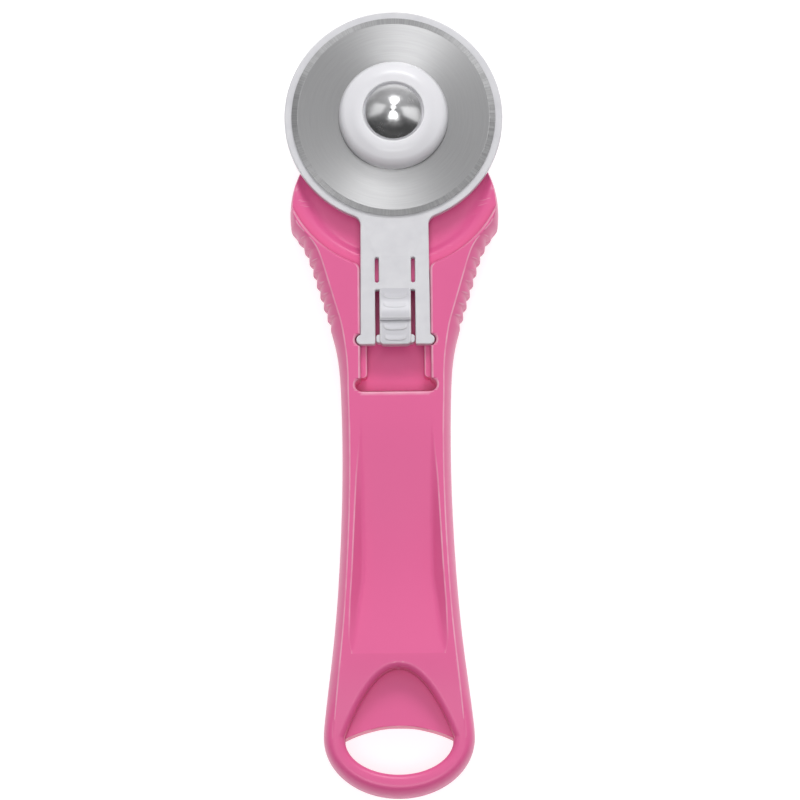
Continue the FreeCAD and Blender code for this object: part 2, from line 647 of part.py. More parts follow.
parts = [make_front_shell(), make_back_shell(), make_screws(), make_guard(), make_guard_legs(), make_latch(),
         make_blade(), make_collar(), make_bolt(), make_wave_washer(), make_flat_washer(), make_nut(),
         make_insert()]
doc.recompute()

for obj in doc.Objects:
    if "Invalid" in obj.State or "Error" in obj.State:
        raise RuntimeError(f"{obj.Label} did not recompute: {obj.State}")
for part in parts:
    if part.Shape.isNull() or not part.Shape.isValid():
        raise RuntimeError(f"{part.Label} has no valid shape")

os.makedirs("parts", exist_ok=True)
for part in parts:
    part.Shape.exportStep(f"parts/{part.Label}.step")
    box = part.Shape.BoundBox
    print(f"{part.Label:20s} solids {len(part.Shape.Solids)} volume {part.Shape.Volume:9.1f} mm3 "
          f"z {box.ZMin:6.2f} to {box.ZMax:6.2f}")
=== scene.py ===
import math

import bmesh
import bpy
import numpy as np
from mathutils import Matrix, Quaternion, Vector
from mathutils.geometry import delaunay_2d_cdt


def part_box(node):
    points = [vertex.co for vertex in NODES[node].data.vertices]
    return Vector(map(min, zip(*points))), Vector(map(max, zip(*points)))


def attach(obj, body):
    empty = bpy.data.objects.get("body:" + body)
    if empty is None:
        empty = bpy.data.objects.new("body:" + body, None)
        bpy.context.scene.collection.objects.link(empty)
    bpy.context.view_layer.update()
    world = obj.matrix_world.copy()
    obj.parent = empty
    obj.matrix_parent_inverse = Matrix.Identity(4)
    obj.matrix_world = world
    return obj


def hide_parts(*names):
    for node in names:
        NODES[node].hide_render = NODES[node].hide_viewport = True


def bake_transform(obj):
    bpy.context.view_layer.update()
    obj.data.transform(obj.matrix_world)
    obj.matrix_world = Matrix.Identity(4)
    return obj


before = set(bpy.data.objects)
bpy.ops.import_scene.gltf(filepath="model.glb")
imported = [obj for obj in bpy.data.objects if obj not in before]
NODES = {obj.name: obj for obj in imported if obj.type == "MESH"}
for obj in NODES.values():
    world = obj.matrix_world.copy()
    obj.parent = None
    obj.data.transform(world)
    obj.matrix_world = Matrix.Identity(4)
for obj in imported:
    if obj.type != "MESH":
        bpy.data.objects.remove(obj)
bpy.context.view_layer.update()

# Rotary cutter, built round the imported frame.
# Shapes are worked out in millimetres about the axle: x to the right, drop down the handle
# (the row's -Y), z up from the flat back. place() turns them into metres in the row's frame.

MM = 0.001


def box_mm(node):
    """A node's low and high corners in millimetres."""
    low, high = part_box(node)
    return np.array(low) / MM, np.array(high) / MM


BLADE_LOW, BLADE_HIGH = box_mm("cutting_blade")
GUARD_LOW, GUARD_HIGH = box_mm("blade_guard")
COLLAR_LOW, COLLAR_HIGH = box_mm("blade_collar")
BOLT_LOW, BOLT_HIGH = box_mm("axle_bolt")
NUT_LOW, NUT_HIGH = box_mm("thumb_nut")
BACK_LOW, BACK_HIGH = box_mm("handle_back_shell")
AXLE_Y = (BLADE_LOW[1] + BLADE_HIGH[1]) / 2
BLADE_R = (BLADE_HIGH[0] - BLADE_LOW[0]) / 2
GUARD_R = (GUARD_HIGH[0] - GUARD_LOW[0]) / 2
PARTING = BACK_HIGH[2]
FRONT = 2 * PARTING
LOOP_END = AXLE_Y - BACK_LOW[1]
FULL_TURN = 2 * math.pi

# painted edge highlight and wear: full where an edge is rounded to the radius below, and only away from the
# parting plane
SHEEN_AND_WEAR_ROUND = 0.5
SHEEN_AND_WEAR_FROM, SHEEN_AND_WEAR_FULL = 3.0, 4.6
SHORTEST_STEP = 0.06
MERGE_REACH, FLAT_REACH = 2e-6, 1e-7
SHARP_FROM = 38.0


# ---- mesh helpers

def place(x, drop, z):
    """Axle millimetres to row metres, as one (n, 3) array."""
    x, drop, z = np.broadcast_arrays(x, drop, z)
    return np.stack([x.ravel(), AXLE_Y - drop.ravel(), z.ravel()], axis=1) * MM


def grid_faces(rows, cols, wrap_rows=False, wrap_cols=False, start=0):
    """Quads of a rows by cols grid of points, closed round either way when asked."""
    i = np.arange(rows if wrap_rows else rows - 1)
    j = np.arange(cols if wrap_cols else cols - 1)
    i, j = [a.ravel() for a in np.meshgrid(i, j, indexing="ij")]
    i2, j2 = (i + 1) % rows, (j + 1) % cols
    return start + np.stack([i * cols + j, i * cols + j2, i2 * cols + j2, i2 * cols + j], axis=1)


def mark_edges(mesh):
    """Painted edge highlight and wear: an attribute of how tightly the surface bends outwards at each point,
    which lightens rounded edges both as a painted highlight and as wear.

    Bend towards a neighbour is twice the normal's share of the step to it, over the step's square.
    """
    spots = np.empty(len(mesh.vertices) * 3)
    mesh.vertices.foreach_get("co", spots)
    ways = np.empty(len(mesh.vertices) * 3, dtype=np.float32)
    mesh.vertex_normals.foreach_get("vector", ways)
    ends = np.empty(len(mesh.edges) * 2, dtype=np.int32)
    mesh.edges.foreach_get("vertices", ends)
    spots, ways, ends = spots.reshape(-1, 3), ways.reshape(-1, 3), ends.reshape(-1, 2)
    bend = np.zeros(len(spots))
    for first, second in (ends.T, ends.T[::-1]):
        step = spots[first] - spots[second]
        square = (step**2).sum(axis=1)
        share = 2 * (ways[first] * step).sum(axis=1) / np.maximum(square, 1e-12)
        np.maximum.at(bend, first, np.where(square > (SHORTEST_STEP * MM)**2, share, 0))
    outermost = smoothstep(SHEEN_AND_WEAR_FROM, SHEEN_AND_WEAR_FULL, np.abs(spots[:, 2] / MM - PARTING))
    # how strongly each point is lightened by the painted edge highlight and wear
    edge_sheen_and_wear = smoothstep(0.3, 1.0, bend * SHEEN_AND_WEAR_ROUND * MM) * outermost
    mesh.attributes.new("edge_sheen_and_wear", "FLOAT", "POINT").data.foreach_set("value", edge_sheen_and_wear.astype(np.float32))


def make_piece(name, points, faces, slot, body, replaced=(), sharp=SHARP_FROM):
    """A mesh object: doubles merged, faces turned outwards, smooth but for its sharp edges.

    `slot` is the record's slot and picks the finish. `body` is the body it rides on; a tuple of two bodies
    and two places is not used, and the piece is then left where it stands, on no body.
    """
    mesh = bpy.data.meshes.new(name)
    mesh.from_pydata(points.tolist(), [], faces)
    work = bmesh.new()
    work.from_mesh(mesh)
    bmesh.ops.remove_doubles(work, verts=work.verts, dist=MERGE_REACH)
    bmesh.ops.dissolve_degenerate(work, edges=work.edges, dist=FLAT_REACH)
    bmesh.ops.recalc_face_normals(work, faces=work.faces)
    work.to_mesh(mesh)
    work.free()
    mesh.polygons.foreach_set("use_smooth", np.ones(len(mesh.polygons), dtype=bool))
    mesh.set_sharp_from_angle(angle=math.radians(sharp))
    mesh.materials.append(FINISHES[slot])
    piece = bpy.data.objects.new(name, mesh)
    bpy.context.scene.collection.objects.link(piece)
    mark_edges(mesh)
    weigh = piece.modifiers.new("even_normals", "WEIGHTED_NORMAL")
    weigh.keep_sharp = True
    if isinstance(body, tuple):
        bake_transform(piece)
    else:
        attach(piece, body)
    if replaced:
        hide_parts(*replaced)


def rounded_line(xs, zs, radii, steps, straights):
    """Round a polyline's corners, for many rows at once.

    xs, zs and radii are (rows, corners). Each inner corner becomes a quadratic Bezier curve of
    `steps` points that starts and ends one radius away from it, or just under halfway along a
    short stretch. Each stretch between two corners gets as many extra points as `straights` says,
    closer together towards its ends.
    """
    spots = np.stack([xs, zs], axis=2)
    legs = np.diff(spots, axis=1)
    long = np.maximum(np.linalg.norm(legs, axis=2), 1e-9)
    ways = legs / long[:, :, None]
    inner = np.minimum(radii[:, 1:-1], 0.47 * np.minimum(long[:, :-1], long[:, 1:]))
    before = spots[:, 1:-1] - ways[:, :-1] * inner[:, :, None]
    after = spots[:, 1:-1] + ways[:, 1:] * inner[:, :, None]
    t = np.linspace(0, 1, steps)[None, None, :, None]
    bends = bezier(before[:, :, None], spots[:, 1:-1, None], after[:, :, None], t)
    out = [spots[:, :1]]
    last = spots[:, 0]
    for k in range(bends.shape[1] + 1):
        goal = before[:, k] if k < bends.shape[1] else spots[:, -1]
        if straights[k]:
            u = np.linspace(0, 1, straights[k] + 2)[1:-1]
            u = 0.5 - 0.5 * np.cos(np.pi * u)
            out.append(last[:, None] + (goal - last)[:, None] * u[None, :, None])
        if k < bends.shape[1]:
            out.append(bends[:, k])
            last = after[:, k]
    out.append(spots[:, -1:])
    return np.concatenate(out, axis=1)


def bezier(first, pull, last, t):
    """Quadratic Bezier curve from first to last, drawn towards pull."""
    return (1 - t)**2 * first + 2 * t * (1 - t) * pull + t**2 * last


def smoothstep(low, high, value):
    """0 at low, 1 at high, level at both: 3 t squared less 2 t cubed."""
    t = np.clip((value - low) / (high - low), 0, 1)
    return t * t * (3 - 2 * t)


def eased(stations, values, at, blur):
    """Straight lines through the stations, averaged over a short stretch so that no kink shows."""
    offsets = np.linspace(-blur, blur, 9)
    return np.mean([np.interp(at + o, stations, values) for o in offsets], axis=0)


def clamped_spline(stations, values, slope_first, slope_last, at):
    """Cubic spline through the stations with a given slope at each end."""
    x, y = np.asarray(stations, float), np.asarray(values, float)
    gap = np.diff(x)
    rise = np.diff(y) / gap
    count = len(x)
    system = np.zeros((count, count))
    right = np.zeros(count)
    system[0, 0] = system[-1, -1] = 1
    right[0], right[-1] = slope_first, slope_last
    k = np.arange(1, count - 1)
    system[k, k - 1] = gap[1:]
    system[k, k] = 2 * (gap[:-1] + gap[1:])
    system[k, k + 1] = gap[:-1]
    right[k] = 3 * (gap[1:] * rise[:-1] + gap[:-1] * rise[1:])
    slopes = np.linalg.solve(system, right)
    i = np.clip(np.searchsorted(x, at) - 1, 0, count - 2)
    u = (at - x[i]) / gap[i]
    return (y[i] * (1 + 2 * u) * (1 - u)**2 + gap[i] * slopes[i] * u * (1 - u)**2
            + y[i + 1] * u * u * (3 - 2 * u) + gap[i] * slopes[i + 1] * u * u * (u - 1))


def arc_half(radius, away):
    """Half chord of a circle at a distance from its centre, nothing outside it."""
    return np.sqrt(np.maximum(radius**2 - away**2, 0))


def turned(name, corners, radii, steps, slot, body, replaced=(), sharp=SHARP_FROM, reshape=None):
    """A closed (radius, z) outline with rounded corners, carried round the axle.

    `reshape` may change the radius with the angle.
    """
    ring = np.array(list(corners) + [corners[0], corners[1]], float)
    bends = np.array([0] + list(radii[1:]) + [radii[0], 0], float)
    line = rounded_line(ring[None, :, 0], ring[None, :, 1], bends[None, :], 5, [0] * (len(ring) - 1))
    far, z = line[:, 1:-1, 0], line[:, 1:-1, 1]
    angle = np.linspace(0, FULL_TURN, steps, endpoint=False)[:, None]
    if reshape:
        far = reshape(angle, far, z)
    faces = grid_faces(steps, z.shape[1], wrap_rows=True, wrap_cols=True).tolist()
    points = place(far * np.cos(angle), far * np.sin(angle), z)
    make_piece(name, points, faces, slot, body, replaced, sharp)


# ---- handle outline

# outline, eye and arch
SHOULDER_R, SHOULDER_DROP, SHOULDER_END = 23.0, 21.0, 23.8
FLANK_DROPS = [25.9, 35.0, 44.0, 50.8, 62.1, 73.4, 96.0, 118.6, 134.4]
FLANK_HALVES = [21.7, 17.8, 15.1, 13.2, 12.1, 11.9, 12.5, 14.3, 16.2]
LOOP_HALF, LOOP_DROP = 16.4, 137.5
EYE_HALF, EYE_DROP, EYE_ROUND = 11.7, 138.5, 7.5
EYE_TOP, EYE_ARC_R = 135.1, 25.8
ARCH_TOP, ARCH_FOOT, ARCH_HALF, ARCH_SOFT = 122.9, 137.7, 11.8, 1.4
ARCH_RUN = (ARCH_FOOT - ARCH_TOP) / ARCH_HALF**2
RING_START, WEB_Z = 137.9, 9.25
# the face's edge: how far it lies inside the outline, down the handle
INSET_DROPS = [-2, 19.5, 21.5, 24.5, 29, 46, 51, 62, 100, 122, 138]
INSETS = [0.5, 0.5, 0.6, 1.6, 2.6, 2.5, 2.0, 1.6, 1.7, 1.9, 2.35]
TAPER_START, TAPER_END, TAPER_DEEP = 119.5, 143.0, 1.9
# recess, channel, rails and notches
RIM_SOFT = 0.5
RECESS_DROP, RECESS_R, LEDGE_R, FLOOR_R = 10.0, 24.6, 22.4, 20.2
LEDGE_Z, FLOOR_Z, WELL_Z = 11.6, 10.2, 8.6
MOUTH_X, MOUTH_DROP, MOUTH_R = 9.55, 34.61, 1.8
CHANNEL_HALF, WELL_HALF, WELL_TOP, POCKET_END = 7.75, 6.3, 38.0, 61.9
RAIL_END, RAIL_ROUND, NO_RAIL = 58.4, 0.9, 99.0
NOTCHES = [(50.35, 1.4), (60.45, 1.45)]
NOTCH_X = 7.5
# grip scoop: its outer and inner borders down the handle
SCOOP_TOP, SCOOP_MID, SCOOP_END, SCOOP_DEEP = 67.0, 100.0, 120.0, 2.2
BORDER_DROPS = [66, 69, 73.5, 80.5, 88, 100, 109, 116.5, 120.5]
BORDER_HALVES = [7.6, 7.8, 8.2, 8.85, 9.25, 9.85, 10.45, 10.7, 10.3]
BOTTOM_DROPS = [66, 79, 94, 102, 106, 110, 116, 120.5]
BOTTOM_HALVES = [7.6, 7.62, 7.5, 7.5, 8.05, 8.6, 9.3, 9.95]
# saw teeth on the flanks
TOOTH_FIRST, TOOTH_LAST, TOOTH_PITCH, TOOTH_DEEP = 24.6, 47.6, 2.55, 0.75
TOOTH_SWELL, TOOTH_CURVE, TOOTH_FADE = 0.8, 1.3, 1.5
# wells in the back
GRIP_SCREWS = [72.0, 112.0]
SHOULDER_SCREW = (14.0, 32.5)
SCREW_WELL_R, SCREW_WELL_Z = 2.6, 2.4
NUT_WELL_R = 13.6
WELL_MOUTH = (NUT_WELL_R**2 - SHOULDER_R**2 + SHOULDER_DROP**2) / (2 * SHOULDER_DROP)
SLIDE = 5.0
# sharp jumps down the handle are two rows HAIR either side; columns that would meet stay GAP apart
HAIR, GAP = 0.015, 0.02


def half_width(drop):
    """Half width of the handle: shoulder circle, then a spline down the flank, then the loop's ellipse."""
    start = float(arc_half(SHOULDER_R, SHOULDER_END - SHOULDER_DROP))
    slope = (SHOULDER_DROP - SHOULDER_END) / start
    flank = clamped_spline([SHOULDER_END] + FLANK_DROPS + [LOOP_DROP],
                           [start] + FLANK_HALVES + [LOOP_HALF], slope, 0.0, drop)
    ellipse = LOOP_HALF * arc_half(1.0, np.clip((drop - LOOP_DROP) / (LOOP_END - LOOP_DROP), 0, 1))
    shoulder = arc_half(SHOULDER_R, drop - SHOULDER_DROP)
    return np.where(drop < SHOULDER_END, shoulder, np.where(drop > LOOP_DROP, ellipse, flank))


def top_level(drop):
    """Front face: flat, then easing down towards the loop."""
    return FRONT - TAPER_DEEP * smoothstep(TAPER_START, TAPER_END, drop)


def flank_inset(drop):
    """How far the face's edge lies inside the outline."""
    return eased(INSET_DROPS, INSETS, drop, 1.2)


def tooth_cut(drop):
    """Saw teeth: each swells towards its lower end and then steps back in."""
    count = (drop - TOOTH_FIRST) / TOOTH_PITCH
    part = count - np.floor(count)
    swell = np.maximum(1 - part / TOOTH_SWELL, 0)**TOOTH_CURVE
    shape = np.where(part < TOOTH_SWELL, swell, smoothstep(TOOTH_SWELL, 1.0, part))
    fade_in = smoothstep(TOOTH_FIRST - 0.3, TOOTH_FIRST + TOOTH_FADE, drop)
    fade_out = 1 - smoothstep(TOOTH_LAST - TOOTH_FADE, TOOTH_LAST, drop)
    return TOOTH_DEEP * shape * (fade_in * fade_out)


def channel_wall(drop):
    """Half width of the guard's recess and channel: circle, rounded mouth, straight, with two notches."""
    mouth_start = RECESS_DROP + RECESS_R * (MOUTH_DROP - RECESS_DROP) / (RECESS_R + MOUTH_R)
    wall = np.where(drop < mouth_start, arc_half(RECESS_R, drop - RECESS_DROP),
                    MOUTH_X - arc_half(MOUTH_R, MOUTH_DROP - drop))
    wall = np.where(drop > MOUTH_DROP, CHANNEL_HALF, wall)
    for middle, radius in NOTCHES:
        bulge = NOTCH_X + arc_half(radius, drop - middle)
        wall = np.where(np.abs(drop - middle) < radius, np.maximum(wall, bulge), wall)
    last, radius = NOTCHES[-1]
    return np.where(drop > last, NOTCH_X + arc_half(radius, drop - last), wall)


def rail_edge(drop):
    """Inner side of the rails, which round off into the wall at their lower end."""
    edge = WELL_HALF + RAIL_ROUND - arc_half(RAIL_ROUND, drop - (RAIL_END - RAIL_ROUND))
    return np.where(drop < RAIL_END - RAIL_ROUND, WELL_HALF, np.where(drop > RAIL_END, NO_RAIL, edge))


def scoop_depth(drop):
    """Grip scoop: eases in from the top and ends against its crease."""
    fall = smoothstep(SCOOP_TOP - 0.5, SCOOP_MID, drop)
    climb = np.cos(np.pi / 2 * np.clip((drop - SCOOP_MID) / (SCOOP_END - SCOOP_MID), 0, 1))
    return SCOOP_DEEP * np.where(drop < SCOOP_MID, fall, climb)


def eye_half(drop):
    """Half width of the eye's shallow upper arc."""
    down = np.maximum(drop - EYE_TOP, 0)
    return np.where(drop > EYE_TOP, np.sqrt(2 * EYE_ARC_R * down - down**2), 0)


def arch_half(drop):
    """Half width of the pocket over the eye: a parabola."""
    return np.sqrt(np.maximum(drop - ARCH_TOP, 0) / ARCH_RUN)


def shell_rows(front):
    """Places down the handle where a cross-section is worked out, close together where it changes."""
    head = SHOULDER_DROP - SHOULDER_R * np.sin(np.linspace(np.pi / 2, -0.12, 64))
    arc = RECESS_DROP + RECESS_R * np.cos(np.radians(np.linspace(21, 72, 60)))
    mouth = MOUTH_DROP - MOUTH_R * np.sin(np.linspace(0, 1.3, 12))
    notch = [middle + radius * np.cos(np.linspace(0, np.pi, 21)) for middle, radius in NOTCHES]
    rail = RAIL_END - RAIL_ROUND + RAIL_ROUND * np.sin(np.linspace(0, np.pi / 2, 9))
    teeth = np.arange(SHOULDER_END, 49.0, TOOTH_PITCH / 13)
    grip = np.arange(49.0, RING_START, 1.0)
    arch = ARCH_TOP + (ARCH_FOOT - ARCH_TOP) * np.linspace(0, 1, 64)**1.7
    over_arch = ARCH_TOP - np.array([0.05, 0.2, 0.4, 0.65, 0.95, 1.3, 1.7, 2.2])
    eye = EYE_TOP + EYE_ARC_R - arc_half(EYE_ARC_R, np.linspace(0, EYE_HALF, 44))
    end = POCKET_END + np.array([0.0, 0.07, 0.16, 0.28, 0.42])
    jumps = [RING_START]
    if front:
        jumps += [WELL_TOP, RAIL_END, POCKET_END, SCOOP_END]
        sets = [head, arc, mouth, *notch, rail, teeth, grip, arch, over_arch, eye, end]
    else:
        screws = GRIP_SCREWS + [SHOULDER_SCREW[1]]
        wells = [spot + SCREW_WELL_R * np.cos(np.linspace(0, np.pi, 17)) for spot in screws]
        well = NUT_WELL_R * np.cos(np.linspace(0, 1.76, 40))
        jumps += [spot + side * SCREW_WELL_R for spot in screws for side in (-1, 1)]
        sets = [head, teeth, grip, arch, over_arch, eye, well, *wells, [WELL_MOUTH]]
    drops = np.concatenate(sets + [np.array(jumps) - HAIR, np.array(jumps) + HAIR, [EYE_TOP - HAIR]])
    first = -np.inf if front else WELL_MOUTH
    return np.unique(np.round(drops[(drops <= RING_START - HAIR) & (drops >= first)], 4))


def bowl_level(from_middle):
    """The recess's floor: level in the middle, then up to the ledge round it."""
    return FLOOR_Z + (LEDGE_Z - FLOOR_Z) * smoothstep(FLOOR_R, LEDGE_R, from_middle)


def head_level(drop, edge):
    """Level at the recess's border: the ledge under its wall, or the bowl where the outline cuts it off."""
    cut_off = channel_wall(drop) >= edge - GAP
    return np.where(cut_off, bowl_level(np.hypot(edge, drop - RECESS_DROP)), LEDGE_Z)


def front_section(drop, half, inset, top):
    """Corners of the front half's sections from the face's edge inwards: (offset, level, rounding).

    The corners are the face's edge, a point near the wall, the wall's top and foot, the shelf's and
    the floor's inner borders, and twice the middle. Down to the pocket's end they shape the recess and
    the channel, below it the scoop and the arch; where a corner has nothing to do it lies on a flat.
    """
    edge = half - inset
    wall = np.minimum(channel_wall(drop), edge - GAP)
    lies_open = drop < POCKET_END
    head = head_level(drop, edge)
    face = np.where(lies_open & (channel_wall(drop) >= edge - GAP), head, top)
    in_head = drop < MOUTH_DROP
    in_well = drop > WELL_TOP
    rail = np.minimum(rail_edge(drop), wall - 2 * GAP)
    shelf_in = np.where(in_head, wall - 2 * GAP, np.where(in_well, rail, 6.0))
    foot_in = np.where(in_head, wall - 4 * GAP, np.where(in_well, shelf_in - 0.03, 5.6))
    deep = np.where(in_head, head, np.where(in_well, WELL_Z, LEDGE_Z))
    shelf = np.where(in_head, head, np.where(drop > RAIL_END, WELL_Z, LEDGE_Z))
    # below the pocket: plain face, then the scoop, then the arch pocket
    side = eased(BORDER_DROPS, BORDER_HALVES, drop, 1.0)
    bottom = eased(BOTTOM_DROPS, BOTTOM_HALVES, drop, 1.0)
    in_scoop = (drop > SCOOP_TOP - 1) & (drop < SCOOP_END)
    arch, eye = arch_half(drop), eye_half(drop)
    in_arch = drop > ARCH_TOP
    over_arch = drop > ARCH_TOP - ARCH_SOFT
    web = np.where(in_arch, WEB_Z, top)
    flat_wall = np.where(drop < SCOOP_TOP, 8.8, 10.2)
    plain_wall = np.where(in_scoop, side, np.where(over_arch, arch, flat_wall))
    flat_foot = np.where(over_arch, arch, flat_wall - 0.3)
    plain_foot = np.where(in_scoop, np.minimum(bottom, side - 0.1), flat_foot)
    plain_low = np.where(in_scoop, top - scoop_depth(drop), web)
    inner = np.where(in_arch, np.maximum(eye, plain_foot * 0.6), plain_foot * 0.75)
    wall = np.where(lies_open, wall, np.minimum(plain_wall, edge - 0.05))
    foot = np.where(lies_open, wall - GAP, np.minimum(plain_foot, wall - 0.01))
    shelf_in = np.where(lies_open, shelf_in, np.minimum(inner, foot - 0.01))
    foot_in = np.where(lies_open, foot_in, np.minimum(inner * 0.9, shelf_in - 0.01))
    foot_in = np.maximum(foot_in, np.where(in_arch, eye, 0))
    shelf_in = np.maximum(shelf_in, foot_in)
    foot = np.maximum(foot, shelf_in)
    shelf = np.where(lies_open, shelf, plain_low)
    deep = np.where(lies_open, deep, plain_low)
    middle = np.where(in_arch, eye, 0.0)
    end = np.where(drop >= EYE_TOP, PARTING, deep)
    near = np.where(lies_open, wall + 1.05 * RIM_SOFT * np.sqrt(1 + wall_slope(drop)**2),
                    approach(drop, wall, over_arch))
    near = np.clip(near, wall + GAP, np.maximum(edge - 0.03, wall + GAP))
    xs = [edge, near, wall, foot, shelf_in, foot_in, middle, middle]
    zs = [face, face, face, shelf, shelf, deep, deep, end]
    radii = [0.5, 0, np.where(in_scoop, 0.55, 0), np.where(in_scoop, 0.7, np.where(lies_open, 0.35, 0)),
             0.28, 0.28, 0.8, 0]
    return xs, zs, radii


def wall_slope(drop):
    """How fast the channel's wall moves sideways down the handle."""
    step = 0.01
    return np.clip((channel_wall(drop + step) - channel_wall(drop - step)) / (2 * step), -3.5, 3.5)


def approach(drop, wall, over_arch):
    """Where the face starts to sink towards the arch: one rounding's reach outside the parabola."""
    slope = 2 * ARCH_RUN * (wall + ARCH_SOFT)
    rise = drop - ARCH_TOP + 1.1 * ARCH_SOFT * np.sqrt(1 + slope**2)
    return np.where(over_arch, np.sqrt(np.maximum(rise, 0) / ARCH_RUN), wall + 0.5)


def back_section(drop, half, inset, top):
    """The same for the back half, with its face turned up: screw wells, nut well, arch and eye."""
    edge = half - inset
    side, low = SHOULDER_SCREW
    away = np.abs(drop - low)
    chord = arc_half(SCREW_WELL_R, away)
    by_shoulder = away < SCREW_WELL_R
    well = FRONT - SCREW_WELL_Z
    grip = sum(arc_half(SCREW_WELL_R, drop - spot) for spot in GRIP_SCREWS)
    in_grip = grip > 0
    in_arch = drop > ARCH_TOP
    arch, eye = arch_half(drop), eye_half(drop)
    over_arch = drop > ARCH_TOP - ARCH_SOFT
    # away from the wells the columns slide to where the next well opens, so that no sliver forms there
    nearing = smoothstep(SCREW_WELL_R + SLIDE, SCREW_WELL_R, away)
    plain_wall = 9.0 + (side + 0.02 - 9.0) * nearing
    plain_foot = 0.03 + (side - 0.03) * nearing
    wall = np.where(by_shoulder, side + chord, np.where(over_arch, arch, np.minimum(plain_wall, edge - 0.1)))
    foot = np.where(by_shoulder, side + chord - 0.01, np.where(over_arch, arch, wall - 0.01))
    shelf_in = np.where(by_shoulder, side - chord + 0.01,
                        np.where(in_grip, grip, np.where(in_arch, foot * 0.6, plain_foot)))
    foot_in = np.where(by_shoulder, side - chord,
                       np.where(in_grip, grip - 0.01, np.where(in_arch, foot * 0.5, plain_foot - 0.01)))
    nut = np.minimum(arc_half(NUT_WELL_R, drop), edge)
    middle = np.where(in_arch, eye, np.where(drop < NUT_WELL_R, nut, 0.0))
    foot_in = np.maximum(foot_in, middle)
    shelf_in = np.maximum(shelf_in, foot_in)
    foot = np.maximum(foot, shelf_in)
    wall = np.minimum(np.maximum(wall, foot), edge)
    foot, shelf_in, foot_in = [np.minimum(v, wall) for v in (foot, shelf_in, foot_in)]
    shelf = np.where(by_shoulder, well, np.where(in_arch, WEB_Z, top))
    deep = np.where(in_grip, well, np.where(in_arch, WEB_Z, top))
    deep_edge = np.where(by_shoulder, top, deep)
    opens = (drop >= EYE_TOP) | (drop <= NUT_WELL_R)
    end = np.where(opens, PARTING, deep_edge)
    near = np.clip(approach(drop, wall, over_arch), wall + GAP, np.maximum(edge - 0.03, wall + GAP))
    xs = [edge, near, wall, foot, shelf_in, foot_in, middle, middle]
    zs = [top, top, top, shelf, shelf, deep_edge, deep_edge, end]
    radii = [0.8, 0, np.where(over_arch, 0, 0.25), 0.1, 0.1, 0.2, np.where(in_arch, 0.8, 0.3), 0]
    return xs, zs, radii


# points along each stretch of a section; the flank stops short of the face to leave room for its rounding
UNDER_STEPS, FLANK_STEPS, CORNER_STEPS = 4, 13, 6
BOWL_STEPS, BACK_STEPS = 24, 3
FLANK_SHARE = 0.93
SEAM = 0.12


def section_line(half, inset, lean, cut, xs, zs, radii, middle, across):
    """One closed half section per row: parting face, flank, then the rounded corners inwards.

    The flank is a Bezier curve from the seam straight up to `lean` of its height and over to the
    face's edge, less the teeth's cut. `across` is how many extra points the stretch to the middle gets.
    """
    rows = len(half)
    start = np.minimum(middle, half - SEAM * 2)
    t = np.linspace(0, 1, UNDER_STEPS)[None, :]
    under_x = start[:, None] + (half - SEAM - cut - start)[:, None] * t
    under = np.stack([under_x, np.full((rows, UNDER_STEPS), PARTING)], axis=2)
    t = np.linspace(0, FLANK_SHARE, FLANK_STEPS)[None, :]
    foot, face = PARTING + SEAM, zs[0]
    knee = foot + (face - foot) * lean
    flank_x = bezier(half[:, None], half[:, None], (half - inset)[:, None], t)
    flank_x = flank_x - cut[:, None] * (1 - t**2)**1.6
    flank = np.stack([flank_x, bezier(foot, knee[:, None], face[:, None], t)], axis=2)
    fill = np.zeros(rows)
    corners_x = np.stack([flank_x[:, -1]] + [v + fill for v in xs], axis=1)
    corners_z = np.stack([flank[:, -1, 1]] + [v + fill for v in zs], axis=1)
    bends = np.stack([fill] + [v + fill for v in radii], axis=1)
    rest = rounded_line(corners_x, corners_z, bends, CORNER_STEPS, [0, 7, 6, 0, 2, 0, across, 1])
    return np.concatenate([under, flank, rest[:, 1:]], axis=1)


def sink(away, reach):
    """Drop of a quarter-round edge at a distance from it."""
    near = np.clip(1 - np.maximum(away, 0) / reach, 0, 1)
    return reach * (1 - np.sqrt(1 - np.minimum(near, 0.985)**2))


def soften_arch(x, drop, z, top):
    """Round the face over the arch: it sinks as a quarter circle as it nears the parabola."""
    slope = 2 * ARCH_RUN * np.abs(x)
    away = (ARCH_RUN * x**2 + ARCH_TOP - drop) / np.sqrt(1 + slope**2)
    on_face = (np.abs(z - top) < GAP) & (drop > ARCH_TOP - ARCH_SOFT)
    return np.where(on_face, z - sink(away, ARCH_SOFT), z)


def sunk_recess(x, drop, z, edge, rows_drop):
    """The front's face: the bowl, and the rounded edge all round the recess, channel and pocket."""
    from_middle = np.hypot(x, drop - RECESS_DROP)
    head = head_level(rows_drop, edge)[:, None]
    inwards = np.arange(x.shape[1]) >= UNDER_STEPS + FLANK_STEPS
    in_bowl = (drop < MOUTH_DROP) & (z > PARTING + 1) & (z < head + 0.01) & inwards
    z = np.where(in_bowl, z + bowl_level(from_middle) - head, z)
    beside = (x - channel_wall(rows_drop)[:, None]) / np.sqrt(1 + wall_slope(rows_drop)**2)[:, None]
    open_rim = (drop < POCKET_END) & (z > FRONT - GAP) & (beside > -0.01)
    z = np.where(open_rim, z - sink(beside, RIM_SOFT), z)
    past = np.hypot(np.maximum(drop - POCKET_END, 0), np.maximum(x - NOTCH_X, 0))
    end_rim = (drop > POCKET_END) & (drop < POCKET_END + RIM_SOFT) & (z > FRONT - GAP)
    return np.where(end_rim, z - sink(past, RIM_SOFT), z)


